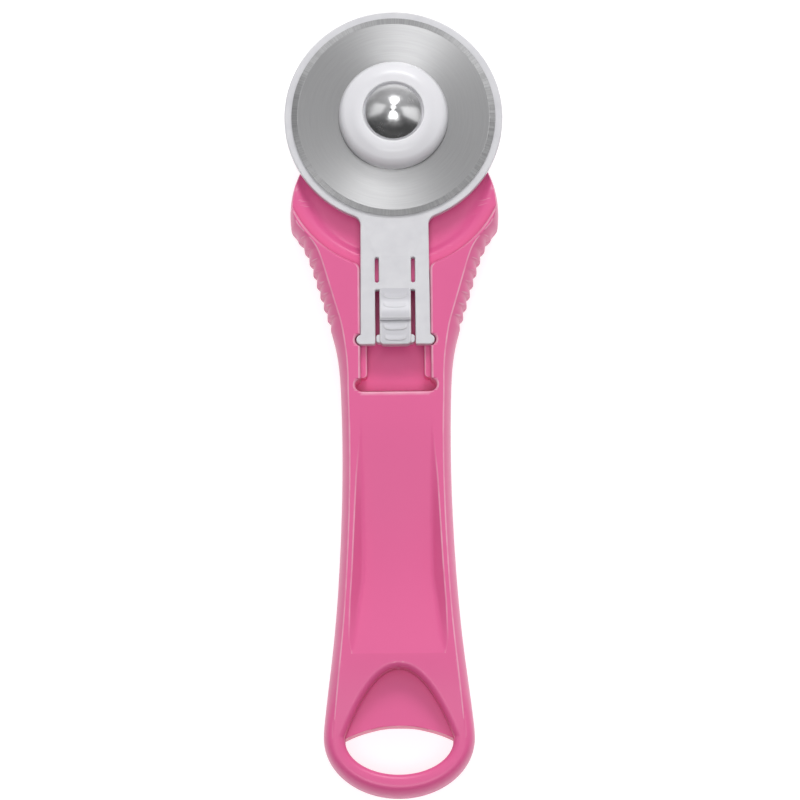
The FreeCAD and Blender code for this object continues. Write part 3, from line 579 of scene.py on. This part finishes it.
def ring_sections(across):
    """The loop below RING_START: sections between the eye's and the outline's half ellipses."""
    turn = np.linspace(0, np.pi / 2, 40)[1:]
    first = np.arcsin((RING_START - LOOP_DROP) / (LOOP_END - LOOP_DROP))
    wide = first + (np.pi / 2 - first) * turn / (np.pi / 2)
    inner = np.stack([EYE_HALF * np.cos(turn), EYE_DROP + EYE_ROUND * np.sin(turn)], axis=1)
    outer = np.stack([LOOP_HALF * np.cos(wide), LOOP_DROP + (LOOP_END - LOOP_DROP) * np.sin(wide)], axis=1)
    span = np.linalg.norm(outer - inner, axis=1)
    level = top_level(outer[:, 1])
    nil = np.zeros_like(span)
    xs = [span * 0.5, span * 0.48] + [nil] * 6
    zs = [level] * 3 + [nil + WEB_Z] * 4 + [nil + PARTING]
    radii = [0.45, 0, 0, 0.3, 0.3, 0.3, 0.8, 0]
    ring = section_line(span, span * 0.5, nil + 1.0, nil, xs, zs, radii, nil, across)
    out, z = ring[:, :, 0], ring[:, :, 1]
    on_face = np.abs(z - level[:, None]) < GAP
    z = z - np.where(on_face, sink(out, ARCH_SOFT), 0)
    way = (outer - inner) / span[:, None]
    return inner[:, :1] + way[:, :1] * out, inner[:, 1:] + way[:, 1:] * out, z


def handle_shell(name, front, replaced):
    """Half sections down the handle and round the ring, mirrored to the other side."""
    rows_drop = shell_rows(front)
    half, inset, top = half_width(rows_drop), flank_inset(rows_drop), top_level(rows_drop)
    inset = np.minimum(inset, half * 0.4)
    lean = 0.62 + 0.38 * smoothstep(126, 139, rows_drop)
    xs, zs, radii = (front_section if front else back_section)(rows_drop, half, inset, top)
    at_nut = np.where(rows_drop < NUT_WELL_R, 0 if front else xs[-1], 0)
    middle = np.where(rows_drop > ARCH_TOP, eye_half(rows_drop), at_nut)
    across = BOWL_STEPS if front else BACK_STEPS
    lines = section_line(half, inset, lean, tooth_cut(rows_drop), xs, zs, radii, middle, across)
    x, z = lines[:, :, 0], lines[:, :, 1]
    drop = np.repeat(rows_drop[:, None], x.shape[1], axis=1)
    z = soften_arch(x, drop, z, top[:, None])
    if front:
        z = sunk_recess(x, drop, z, half - inset, rows_drop)
    x, drop, z = [np.concatenate(pair) for pair in zip((x, drop, z), ring_sections(across))]
    if not front:
        z = FRONT - z
    rows, cols = x.shape
    right = grid_faces(rows, cols)
    left = right[:, ::-1] + rows * cols
    points = np.concatenate([place(x, drop, z), place(-x, drop, z)])
    ends = [list(range(cols)), list(range(rows * cols, rows * cols + cols))]
    faces = right.tolist() + left.tolist() + ([] if front else ends)
    make_piece(name, points, faces, "handle_plastic", "handle", replaced, sharp=40)


# ---- finishes

def blank(name, colour, roughness, metallic=0.0, coat=0.0):
    """A material to build on: (material, its node tree, its shader, the place in object coordinates)."""
    material = bpy.data.materials.new(name)
    material.use_nodes = True
    tree = material.node_tree
    shader = tree.nodes["Principled BSDF"]
    shader.inputs["Base Color"].default_value = (*colour, 1)
    shader.inputs["Roughness"].default_value = roughness
    shader.inputs["Metallic"].default_value = metallic
    shader.inputs["Coat Weight"].default_value = coat
    shader.inputs["Coat Roughness"].default_value = 0.08
    return material, tree, shader, tree.nodes.new("ShaderNodeTexCoord").outputs["Object"]


def feed(tree, sockets, values):
    """Give each socket its number, or link it to another node's socket."""
    for socket, value in zip(sockets, values):
        if isinstance(value, bpy.types.NodeSocket):
            tree.links.new(value, socket)
        elif value is not None:
            socket.default_value = value


def sums(tree, operation, *values):
    """One Math node; each value is a number or a socket."""
    step = tree.nodes.new("ShaderNodeMath")
    step.operation = operation
    feed(tree, step.inputs, values)
    return step.outputs[0]


def arrows(tree, operation, *values):
    """One Vector Math node; each value is a vector, a number, a socket or None."""
    step = tree.nodes.new("ShaderNodeVectorMath")
    step.operation = operation
    feed(tree, step.inputs, values)
    return step.outputs["Value" if operation == "LENGTH" else "Vector"]


# a Mix node's sockets for each kind of data: factor, first, second, and the result's output
MIX_SOCKETS = {"VECTOR": ((0, 4, 5), 1), "RGBA": ((0, 6, 7), 2)}


def mixed(tree, kind, *values):
    """One Mix node: factor, first, second."""
    step = tree.nodes.new("ShaderNodeMix")
    step.data_type = kind
    into, result = MIX_SOCKETS[kind]
    feed(tree, [step.inputs[k] for k in into], values)
    return step.outputs[result]


def cloud(tree, where, scale, detail=2.0, stretch=(1, 1, 1)):
    """Noise of a given scale per metre, drawn out along an axis where stretch is below one."""
    shape = tree.nodes.new("ShaderNodeMapping")
    shape.inputs["Scale"].default_value = stretch
    tree.links.new(where, shape.inputs["Vector"])
    speckle = tree.nodes.new("ShaderNodeTexNoise")
    speckle.inputs["Scale"].default_value = scale
    speckle.inputs["Detail"].default_value = detail
    tree.links.new(shape.outputs[0], speckle.inputs["Vector"])
    return speckle.outputs["Fac"]


def spread(tree, value, low, high, out_low, out_high):
    """Map a value's range onto another."""
    step = tree.nodes.new("ShaderNodeMapRange")
    feed(tree, step.inputs, (value, low, high, out_low, out_high))
    return step.outputs["Result"]


def ramp(tree, value, stops):
    """Colour from a value, through a ramp of two (place, colour) stops."""
    step = tree.nodes.new("ShaderNodeValToRGB")
    for mark, (along, colour) in zip(step.color_ramp.elements, stops):
        mark.position = along
        mark.color = (*colour, 1)
    tree.links.new(value, step.inputs["Fac"])
    return step.outputs["Color"]


def relief(tree, shader, height, depth, strength=1.0):
    """Bump from a height of 0 to 1 that stands for a depth in metres."""
    bump = tree.nodes.new("ShaderNodeBump")
    bump.inputs["Strength"].default_value = strength
    bump.inputs["Distance"].default_value = depth
    tree.links.new(height, bump.inputs["Height"])
    tree.links.new(bump.outputs["Normal"], shader.inputs["Normal"])


def tint(colour, factor):
    """A colour made lighter or darker."""
    return tuple(min(channel * factor, 1.0) for channel in colour)


# noise is used between these values, where nearly all of it lies
NOISE_LOW, NOISE_HIGH = 0.3, 0.7
ALONG_HANDLE = (1, 0.5, 1)
# how far the painted edge highlight and wear pale the colour
EDGE_PALE = 0.55
PLASTIC_SHINE = 0.34


def moulded_plastic(name, colour, roughness, coat, grain_depth):
    """Gloss plastic: flow clouds in the colour, edges painted paler as a highlight and as wear, long polish
    marks in the gloss, and a fine mould grain."""
    material, tree, shader, where = blank(name, colour, roughness, coat=coat)
    shader.inputs["Specular IOR Level"].default_value = PLASTIC_SHINE
    flow = cloud(tree, where, 60, 3, ALONG_HANDLE)
    base = ramp(tree, flow, [(0.3, tint(colour, 0.985)), (0.72, tint(colour, 1.01))])
    # painted edge highlight and wear: rounded edges lightened towards a paler pink
    sheen_and_wear_node = tree.nodes.new("ShaderNodeAttribute")
    sheen_and_wear_node.attribute_name = "edge_sheen_and_wear"
    patchy = spread(tree, cloud(tree, where, 260, 3), 0.3, 0.6, 0.55, 1.0)
    amount = sums(tree, "MULTIPLY", sums(tree, "MULTIPLY", sheen_and_wear_node.outputs["Fac"], patchy), EDGE_PALE)
    pale = [0.5 + 0.5 * channel for channel in colour]
    tree.links.new(mixed(tree, "RGBA", amount, base, (*pale, 1)), shader.inputs["Base Color"])
    polish = cloud(tree, where, 500, 3, ALONG_HANDLE)
    gloss = spread(tree, polish, NOISE_LOW, NOISE_HIGH, roughness * 0.93, roughness * 1.08)
    tree.links.new(gloss, shader.inputs["Roughness"])
    relief(tree, shader, cloud(tree, where, 3600, 2), grain_depth)
    return material


def round_the_axle(tree, where):
    """(distance from the axle, way out from the axle) of a place, for turned and ground parts."""
    flat = arrows(tree, "MULTIPLY_ADD", where, (1, 1, 0), (0, -AXLE_Y * MM, 0))
    return arrows(tree, "LENGTH", flat), arrows(tree, "NORMALIZE", flat)


def turning_lines(tree, far, way, scale, wander):
    """Noise drawn out round the axle: fine along the distance from it, nearly constant round it."""
    spot = tree.nodes.new("ShaderNodeCombineXYZ")
    tree.links.new(far, spot.inputs["Z"])
    drift = arrows(tree, "SCALE", way, None, None, wander)
    return cloud(tree, arrows(tree, "ADD", drift, spot.outputs[0]), scale, 3)


STEEL_DARK, STEEL_PALE = (0.335, 0.335, 0.34), (0.385, 0.385, 0.39)


def ground_steel(name):
    """Blade steel: lines round the axle over the face and marks across the ground edge. The sheen is
    drawn out away from the axle on the face, which gives it light wedges, and round it on the edge."""
    material, tree, shader, where = blank(name, STEEL_DARK, 0.3, metallic=1.0)
    far, way = round_the_axle(tree, where)
    lines = turning_lines(tree, far, way, 4200, 0.0006)
    marks = spread(tree, cloud(tree, way, 75, 3), 0.35, 0.65, -1.0, 2.0)
    on_edge = sums(tree, "GREATER_THAN", far, (BLADE_R - BEVEL_WIDE - 0.05) * MM)
    off_edge = sums(tree, "SUBTRACT", 1.0, on_edge)
    face_share = sums(tree, "MULTIPLY", lines, off_edge)
    height = sums(tree, "ADD", face_share, sums(tree, "MULTIPLY", marks, on_edge))
    tree.links.new(ramp(tree, height, [(0.2, STEEL_DARK), (0.8, STEEL_PALE)]), shader.inputs["Base Color"])
    tree.links.new(spread(tree, height, NOISE_LOW, NOISE_HIGH, 0.28, 0.33), shader.inputs["Roughness"])
    relief(tree, shader, height, 0.0000010, 0.5)
    around = arrows(tree, "CROSS_PRODUCT", (0, 0, 1), way)
    turn = tree.nodes.new("ShaderNodeVectorTransform")
    turn.vector_type = "VECTOR"
    turn.convert_from = "OBJECT"
    turn.convert_to = "WORLD"
    tree.links.new(mixed(tree, "VECTOR", on_edge, way, around), turn.inputs[0])
    shader.inputs["Anisotropic"].default_value = 0.78
    tree.links.new(turn.outputs[0], shader.inputs["Tangent"])
    return material


def plated_metal(name, colour, roughness, scale, depth):
    """Plated or turned metal: faint lines round the axle and small rubbed patches in the gloss."""
    material, tree, shader, where = blank(name, colour, roughness, metallic=1.0)
    far, way = round_the_axle(tree, where)
    lines = turning_lines(tree, far, way, scale, 0.0008)
    both = sums(tree, "MULTIPLY_ADD", lines, 0.4, sums(tree, "MULTIPLY", cloud(tree, where, 420, 4), 0.6))
    shades = [(NOISE_LOW, tint(colour, 0.93)), (NOISE_HIGH, tint(colour, 1.04))]
    tree.links.new(ramp(tree, both, shades), shader.inputs["Base Color"])
    gloss = spread(tree, both, NOISE_LOW, NOISE_HIGH, roughness * 0.75, roughness * 1.3)
    tree.links.new(gloss, shader.inputs["Roughness"])
    relief(tree, shader, lines, depth, 0.6)
    return material


def dress(node, slot):
    """Give a CAD node its finish."""
    shape = NODES[node]
    shape.data.materials.clear()
    shape.data.materials.append(FINISHES[slot])


BEVEL_WIDE = 1.25
FINISHES = {
    "handle_plastic": moulded_plastic("pink_moulding", (0.745, 0.119, 0.306), 0.33, 0.0, 0.0000006),
    "guard_plastic": moulded_plastic("guard_white", (0.57, 0.565, 0.60), 0.34, 0.1, 0.0000008),
    "collar_plastic": moulded_plastic("collar_white", (0.75, 0.745, 0.775), 0.30, 0.12, 0.0000008),
    "nut_plastic": moulded_plastic("nut_white", (0.66, 0.655, 0.685), 0.36, 0.1, 0.000002),
    "blade_steel": ground_steel("ground_blade_steel"),
    "bolt_chrome": plated_metal("bright_plating", (0.74, 0.74, 0.75), 0.23, 1800, 0.0000015),
    "screw_steel": plated_metal("zinc_plating", (0.62, 0.63, 0.65), 0.30, 3000, 0.000004),
    "insert_brass": plated_metal("turned_brass", (0.72, 0.52, 0.24), 0.26, 3000, 0.000004)}


# ---- guard, latch and the parts on the axle

STEM_HALF, STEM_FILLET = 7.5, 2.2
AXLE_SLOT_R, AXLE_SLOT_RISE = 6.7, 10.0
SPLIT_IN, SPLIT_OUT, SPLIT_TOP, SPLIT_END = 3.55, 4.4, 31.8, 37.5
WEB_END, LEG_END, EAR_R = 39.1, 51.4, 1.1
GUARD_EDGE = 0.28


def arc(middle, radius, first, last, count):
    """Points of an arc, as (x, y) rows; angles in degrees."""
    angle = np.radians(np.linspace(first, last, count))
    return np.stack([middle[0] + radius * np.cos(angle), middle[1] + radius * np.sin(angle)], axis=1)


def mirrored(half):
    """A closed outline from its right half, which runs from the top middle to the bottom middle."""
    left = half[::-1] * [-1, 1]
    whole = np.concatenate([half, left])
    keep = np.linalg.norm(whole - np.roll(whole, 1, axis=0), axis=1) > 1e-4
    return whole[keep]


def edge_ways(loop):
    """Unit normals of a closed outline, to the left of its direction, lengthened at corners."""
    ahead = np.roll(loop, -1, axis=0) - loop
    ahead /= np.linalg.norm(ahead, axis=1)[:, None]
    side = np.stack([-ahead[:, 1], ahead[:, 0]], axis=1)
    both = side + np.roll(side, 1, axis=0)
    return both / np.maximum((both * side).sum(axis=1), 0.35)[:, None]


def inside_count(spots, loop):
    """How many times a ray from each spot towards +x meets the outline."""
    a, b = loop, np.roll(loop, -1, axis=0)
    x, y = spots[:, :1], spots[:, 1:]
    spans = (a[None, :, 1] > y) != (b[None, :, 1] > y)
    rise = b[:, 1] - a[:, 1]
    rise = np.where(np.abs(rise) < 1e-12, 1e-12, rise)
    meets = a[None, :, 0] + (y - a[None, :, 1]) * ((b - a)[None, :, 0] / rise[None, :])
    return (spans & (x < meets)).sum(axis=1)


def flat_fill(loops):
    """Triangles between closed outlines: a Delaunay net, less what lies inside an even number of them."""
    spots = np.concatenate(loops)
    edges, count = [], 0
    for loop in loops:
        size = len(loop)
        edges += [(count + k, count + (k + 1) % size) for k in range(size)]
        count += size
    net = delaunay_2d_cdt([Vector(spot) for spot in spots.tolist()], edges, [], 0, 1e-7)
    flat = np.array([list(v) for v in net[0]])
    triangles = np.array(net[2])
    middles = flat[triangles].mean(axis=1)
    kept = sum(inside_count(middles, loop) for loop in loops) % 2 == 1
    return flat, triangles[kept]


def plate(name, loops, low, high, edge, slot, body, replaced=()):
    """A flat plate with rounded edges: a quarter-round profile is carried round each outline, and the
    two faces between the outlines are filled. The first outline is the outer one, the others are holes."""
    t = np.linspace(0, np.pi / 2, 6)
    inset = edge * np.concatenate([1 - np.sin(t), (1 - np.sin(t))[::-1]])
    level = np.concatenate([high - edge * (1 - np.cos(t)), (low + edge * (1 - np.cos(t)))[::-1]])
    points, faces, rims, count = [], [], [], 0
    for number, loop in enumerate(loops):
        turning = np.sum(loop[:, 0] * np.roll(loop[:, 1], -1) - loop[:, 1] * np.roll(loop[:, 0], -1))
        inwards = edge_ways(loop) * np.sign(turning) * (1 if number == 0 else -1)
        ring = loop[None] + inwards[None] * inset[:, None, None]
        points.append(place(ring[:, :, 0], -ring[:, :, 1], np.repeat(level[:, None], len(loop), axis=1)))
        faces += grid_faces(len(level), len(loop), wrap_cols=True, start=count).tolist()
        rims.append(ring[0])
        count += ring.shape[0] * ring.shape[1]
    flat, triangles = flat_fill(rims)
    for z in (high, low):
        points.append(place(flat[:, 0], -flat[:, 1], z))
        faces += (triangles + count).tolist()
        count += len(flat)
    make_piece(name, np.concatenate(points), faces, slot, body, replaced)


def guard_outline():
    """Disc, fillets, stem, and the two legs with their ears."""
    reach = GUARD_R + STEM_FILLET
    fillet_x = STEM_HALF + STEM_FILLET
    fillet_y = -math.sqrt(reach**2 - fillet_x**2)
    meets = math.degrees(math.atan2(fillet_y, fillet_x))
    soft = 0.4
    return mirrored(np.concatenate([
        arc((0, 0), GUARD_R, 90, meets, 120),
        arc((fillet_x, fillet_y), STEM_FILLET, meets + 180, 180, 14),
        arc((STEM_HALF, -LEG_END + EAR_R), EAR_R, 80, -90, 14),
        arc((SPLIT_OUT + soft, -LEG_END + soft), soft, 270, 180, 6),
        arc((SPLIT_OUT - soft, -WEB_END - soft), soft, 0, 90, 6),
        [[0, -WEB_END]]]))


def slot_outline(left, right, top, end):
    """A slot with round ends; top and end are drops."""
    radius = (right - left) / 2
    middle = (left + right) / 2
    return np.concatenate([arc((middle, -top - radius), radius, 0, 180, 20),
                           arc((middle, -end + radius), radius, 180, 360, 20)])


def make_guard():
    """One plate for the disc, stem and legs, with the axle's slot and the two splits in it."""
    slots = [slot_outline(-AXLE_SLOT_R, AXLE_SLOT_R, -AXLE_SLOT_RISE - AXLE_SLOT_R, AXLE_SLOT_R),
             slot_outline(SPLIT_IN, SPLIT_OUT, SPLIT_TOP, SPLIT_END),
             slot_outline(-SPLIT_OUT, -SPLIT_IN, SPLIT_TOP, SPLIT_END)]
    plate("guard_moulding", [guard_outline()] + slots, GUARD_LOW[2], GUARD_HIGH[2], GUARD_EDGE,
          "guard_plastic", "guard", ["blade_guard", "guard_legs"])


TONGUE_TOP, TONGUE_END, TONGUE_HALF = 38.3, 51.5, 3.45
STEP_DROP, SWELL_HIGH, PAD_HIGH = 46.1, 14.9, 14.2
# ridges: where each falls, its half width, its height
RIDGES = [(41.1, 2.5, 0.13), (43.2, 2.5, 0.08), (48.3, 2.5, 0.2), (50.6, 2.3, 0.2)]
TAB_HALF, TAB_TOP, TAB_END, TAB_LOW, TAB_HIGH = 4.25, 49.1, 51.0, 11.2, 13.5
END_ROUND, SOFT_EDGE = 1.0, 0.25


def make_latch():
    """Cross-sections down the tongue: flat below, rounded sides, and a top that swells to the step, then
    runs level. Each ridge climbs slowly and falls at once, along a line that turns up at its ends.
    The tongue grows out of the guard."""
    drop = np.unique(np.concatenate([
        [TONGUE_TOP], np.arange(TONGUE_TOP + 0.1, TONGUE_END - END_ROUND, 0.07),
        TONGUE_END - END_ROUND * (1 - np.sin(np.linspace(0, np.pi / 2, 14))),
        [STEP_DROP - 0.02, STEP_DROP + 0.02]]))
    to_end = TONGUE_END - drop
    half = TONGUE_HALF - END_ROUND + arc_half(END_ROUND, np.clip(END_ROUND - to_end, 0, END_ROUND))
    crown = GUARD_HIGH[2] - 0.012 + 0.024 * smoothstep(TONGUE_TOP, WEB_END + 0.2, drop)
    crown = crown + (SWELL_HIGH - GUARD_HIGH[2]) * smoothstep(40.6, STEP_DROP - 0.9, drop)
    crown = crown - 0.25 * smoothstep(STEP_DROP - 0.6, STEP_DROP, drop)
    crown = np.where(drop > STEP_DROP, PAD_HIGH - 0.35 * np.exp(-(drop - STEP_DROP) / 0.3), crown)
    crown = crown - 0.35 * (1 - arc_half(1.0, np.clip(1 - to_end / 0.4, 0, 1)))
    quarter = np.linspace(0, np.pi / 2, 6)
    across = np.concatenate([[0], 1 - 0.08 * (1 - np.sin(quarter)), 1 - 0.1 * (1 - np.cos(quarter)),
                             np.linspace(0.88, 0, 20)])
    x = half[:, None] * across[None, :]
    bent = drop[:, None] + 0.55 * (x / 2.5)**4
    top = crown[:, None] + sum(
        high * smoothstep(at - 1.3, at - 0.12, bent) * (1 - smoothstep(at - 0.12, at + 0.2, bent))
        * (1 - smoothstep(wide - 0.3, wide + 0.3, x)) for at, wide, high in RIDGES)
    low = GUARD_LOW[2]
    z = top.copy()
    z[:, 0] = low
    z[:, 1:7] = low + SOFT_EDGE * (1 - np.cos(quarter))
    z[:, 7:13] = top[:, 7:13] - 0.3 * (1 - np.sin(quarter))
    x = np.concatenate([x, -x[:, ::-1]], axis=1)
    z = np.concatenate([z, z[:, ::-1]], axis=1)
    middle = (low + crown) / 2
    x = np.concatenate([x[:1] * 0, x, x[-1:] * 0])
    z = np.concatenate([z[:1] * 0 + middle[0], z, z[-1:] * 0 + middle[-1]])
    drop = np.concatenate([drop[:1], drop, drop[-1:]])
    points = place(x, np.repeat(drop[:, None], x.shape[1], axis=1), z)
    faces = grid_faces(len(drop), x.shape[1], wrap_cols=True).tolist()
    root, free = [(0, (AXLE_Y - at) * MM, GUARD_HIGH[2] * MM) for at in (WEB_END - 0.3, WEB_END + 2.5)]
    make_piece("thumb_tongue", points, faces, "guard_plastic", ("guard", "latch", root, free),
               ["thumb_latch"])
    soft = 0.6
    tab = mirrored(np.concatenate([
        [[0, -TAB_TOP]], arc((TAB_HALF - soft, -TAB_TOP - soft), soft, 90, 0, 6),
        arc((TAB_HALF - soft, -TAB_END + soft), soft, 0, -90, 6), [[0, -TAB_END]]]))
    plate("tongue_tabs", [tab], TAB_LOW, TAB_HIGH, SOFT_EDGE, "guard_plastic", "latch")


# the square neck, from which height to which it is square, and the seat above it
NECK_LOW, SQUARE_LOW, SQUARE_HIGH, SEAT_Z = 15.6, 15.55, 18.35, 18.4
CUT_CORNER = 1.34


def squared(angle):
    """How far a square of half side 1 with cut corners reaches at an angle."""
    return np.minimum(1 / np.maximum(np.abs(np.cos(angle)), np.abs(np.sin(angle))), CUT_CORNER)


def make_blade():
    """A disc with a round hole, ground on one side down to a thin edge."""
    low, high = BLADE_LOW[2], BLADE_HIGH[2]
    hole, edge = 4.0, 0.12
    corners = [(hole, low), (BLADE_R, low), (BLADE_R, low + edge), (BLADE_R - BEVEL_WIDE, high), (hole, high)]
    turned("blade_disc", corners, [0.02, 0.01, 0.01, 0.05, 0.05], 288, "blade_steel", "blade",
           ["cutting_blade"], sharp=8)


def make_collar():
    """Foot, flared side, round shoulder and the bowl for the bolt's head, with a square hole through it."""
    foot, top = 14.45, COLLAR_HIGH[2]
    corners = [(2.62, COLLAR_LOW[2]), (3.9, COLLAR_LOW[2]), (3.9, foot), (12.1, foot), (12.1, 16.05),
               (11.4, 17.95), (8.6, top), (6.75, top), (6.6, SEAT_Z), (3.0, SEAT_Z),
               (3.0, NECK_LOW), (2.62, NECK_LOW)]
    radii = [0.1, 0.1, 0.05, 0.12, 0.9, 1.4, 1.6, 0.3, 0.1, 0.1, 0.05, 0.05]

    def keyed(angle, far, z):
        return np.where((z > SQUARE_LOW) & (far < 3.3), far * squared(angle), far)

    turned("axle_collar", corners, radii, 192, "collar_plastic", "handle", ["blade_collar"], reshape=keyed)


DOME_R, NIB_R, DOME_FOOT, NIB_TALL, DOME_POWER = 6.4, 0.8, 0.5, 0.1, 1.65


def make_bolt():
    """Head with a low, nearly straight-sided dome and a small nib, a square neck and a round shank,
    turned about the axle. The dome falls with the distance from the axle to the power DOME_POWER."""
    nib, rim = BOLT_HIGH[2], SEAT_Z + DOME_FOOT
    high = nib - NIB_TALL
    far = np.linspace(DOME_R, NIB_R, 24)
    climb = (1 - (far / DOME_R)**DOME_POWER) / (1 - (NIB_R / DOME_R)**DOME_POWER)
    dome = list(zip(far[1:-1], rim + (high - rim) * climb[1:-1]))
    corners = [(0, BOLT_LOW[2]), (2.5, BOLT_LOW[2]), (2.5, NECK_LOW), (2.9, NECK_LOW), (2.9, SEAT_Z),
               (6.3, SEAT_Z), (DOME_R, rim)] + dome + [(NIB_R, high), (0.7, nib), (0, nib)]
    radii = [0, 0.3, 0.05, 0.05, 0.05, 0.1, 0.25] + [0.2] * len(dome) + [0.06, 0.12, 0]

    def keyed(angle, far, z):
        on_neck = (z > SQUARE_LOW) & (z < SQUARE_HIGH) & (far > 2.6) & (far < 3.2)
        return np.where(on_neck, far * squared(angle), far)

    turned("axle_bolt_head", corners, radii, 160, "bolt_chrome", "handle", ["axle_bolt"], reshape=keyed)


FLUTES, FLUTE_DEEP = 12, 1.2
FLUTE_FROM, FLUTE_TO = 2.6, 0.7


def make_nut():
    """Finger nut: its rim dips in smoothly at each flute, where the cosine of FLUTES turns is above 0."""
    low, high, rim = NUT_LOW[2], NUT_HIGH[2], (NUT_HIGH[0] - NUT_LOW[0]) / 2

    def fluted(angle, far, z):
        dip = FLUTE_DEEP * smoothstep(0.0, 1.0, np.cos(FLUTES * angle))
        return far - dip * smoothstep(rim - FLUTE_FROM, rim - FLUTE_TO, far)

    corners = [(3.0, low), (4.6, low), (5.0, low + 0.35), (8.4, low + 0.35), (8.8, low), (rim, low),
               (rim, high), (5.0, high), (3.0, high)]
    radii = [0.2, 0.2, 0.2, 0.2, 0.3, 0.6, 0.6, 0.1, 0.1]
    turned("finger_nut", corners, radii, 360, "nut_plastic", "nut", ["thumb_nut"], reshape=fluted)


def make_seat():
    """The moulded plate under the axle and the boss that the blade and the collar sit on."""
    turned("axle_seat", [(2.7, 6.2), (13.0, 6.2), (13.0, 10.15), (6.45, 10.15), (6.45, 14.05), (4.05, 14.05),
                         (4.05, 12.3), (2.7, 12.3)],
           [0.1, 0.3, 0.3, 0.4, 0.3, 0.1, 0.1, 0.1], 144, "handle_plastic", "handle")


# ---- making

handle_shell("front_moulding", True, ["handle_front_shell"])
handle_shell("back_moulding", False, ["handle_back_shell"])
make_seat()
make_guard()
make_latch()
make_blade()
make_collar()
make_bolt()
make_nut()
for node in ("handle_screws", "wave_washer", "flat_washer"):
    dress(node, "screw_steel")
dress("nut_insert", "insert_brass")


# ---- studio

# name, place, aim, power, width, length, turn about the beam in degrees
LIGHTS = [("overhead_strip", (0.0, 0.30, 1.0), (0.0, 0.06, 0.0), 1.38, 0.16, 1.6, -19.0),
          ("top_light", (0.12, 1.08, 0.82), (0, 0, 0), 7.6, 0.6, 0.4, 0.0),
          ("front_light", (0.0, -0.38, 1.0), (0, 0, 0), 4.0, 0.7, 0.3, 0.0),
          ("left_light", (-0.66, 0.25, 0.42), (0, 0, 0), 0.4, 0.5, 0.4, 0.0),
          ("right_light", (0.7, 0.1, 0.42), (0, 0, 0), 0.65, 0.5, 0.5, 0.0)]


# the sky: dark low down in front, brighter high up and behind the head
SKY_GREYS = ((0.1, 0.05), (1.0, 0.42))
FLOOR_REACH, FLOOR_GREY, FLOOR_GLOW = 3.0, 0.42, 0.76


def studio():
    """Pale floor, soft lights and sky."""
    corners = [(FLOOR_REACH * x, FLOOR_REACH * y, 0) for x, y in ((-1, -1), (1, -1), (1, 1), (-1, 1))]
    floor_mesh = bpy.data.meshes.new("floor")
    floor_mesh.from_pydata(corners, [], [(0, 1, 2, 3)])
    floor = bpy.data.objects.new("floor", floor_mesh)
    bpy.context.scene.collection.objects.link(floor)
    paper, _, paper_shader, _ = blank("floor_paper", (FLOOR_GREY, FLOOR_GREY, FLOOR_GREY), 0.9)
    paper_shader.inputs["Emission Color"].default_value = (1, 1, 1, 1)
    paper_shader.inputs["Emission Strength"].default_value = FLOOR_GLOW
    floor_mesh.materials.append(paper)
    for name, spot, aim, power, wide, long, turn in LIGHTS:
        light = bpy.data.lights.new(name, "AREA")
        light.shape = "RECTANGLE"
        light.energy = power
        light.size, light.size_y = wide, long
        lamp = bpy.data.objects.new(name, light)
        lamp.location = spot
        beam = (Vector(aim) - Vector(spot)).to_track_quat("-Z", "Y")
        lamp.rotation_euler = (beam @ Quaternion((0, 0, 1), math.radians(turn))).to_euler()
        bpy.context.scene.collection.objects.link(lamp)
    world = bpy.data.worlds.new("studio")
    world.use_nodes = True
    tree = world.node_tree
    sky = tree.nodes["Background"]
    sky.inputs["Strength"].default_value = 1.0
    aim = tree.nodes.new("ShaderNodeTexCoord").outputs["Generated"]
    parts = tree.nodes.new("ShaderNodeSeparateXYZ")
    tree.links.new(aim, parts.inputs[0])
    lean = sums(tree, "ADD", sums(tree, "MULTIPLY", parts.outputs["Y"], 0.9), parts.outputs["Z"])
    greys = [(along, (grey, grey, grey * 1.01)) for along, grey in SKY_GREYS]
    tree.links.new(ramp(tree, lean, greys), sky.inputs["Color"])
    bpy.context.scene.world = world
    bpy.context.scene.view_settings.view_transform = "Standard"


CAMERA_ROLL = -0.56
CAMERA_TILT = 78.0
VIEW_WIDE, VIEW_FAR = 0.1769, 1.2
VIEW_MIDDLE = (0.00085, -61.0)


def camera():
    """A long lens, tilted a little from straight above and rolled a little, as the tool is usually shown."""
    lens = bpy.data.cameras.new("camera")
    lens.sensor_width = 36.0
    lens.lens = lens.sensor_width * VIEW_FAR / VIEW_WIDE
    lens.clip_end = 10
    eye = bpy.data.objects.new("camera", lens)
    tilt = math.radians(CAMERA_TILT)
    middle = Vector((VIEW_MIDDLE[0], (AXLE_Y + VIEW_MIDDLE[1]) * MM, 0.0))
    back = Vector((0, -math.cos(tilt), math.sin(tilt)))
    eye.location = middle + back * VIEW_FAR
    eye.rotation_mode = "QUATERNION"
    eye.rotation_quaternion = back.to_track_quat("Z", "Y") @ Quaternion((0, 0, 1), math.radians(CAMERA_ROLL))
    bpy.context.scene.collection.objects.link(eye)
    bpy.context.scene.camera = eye


studio()
camera()
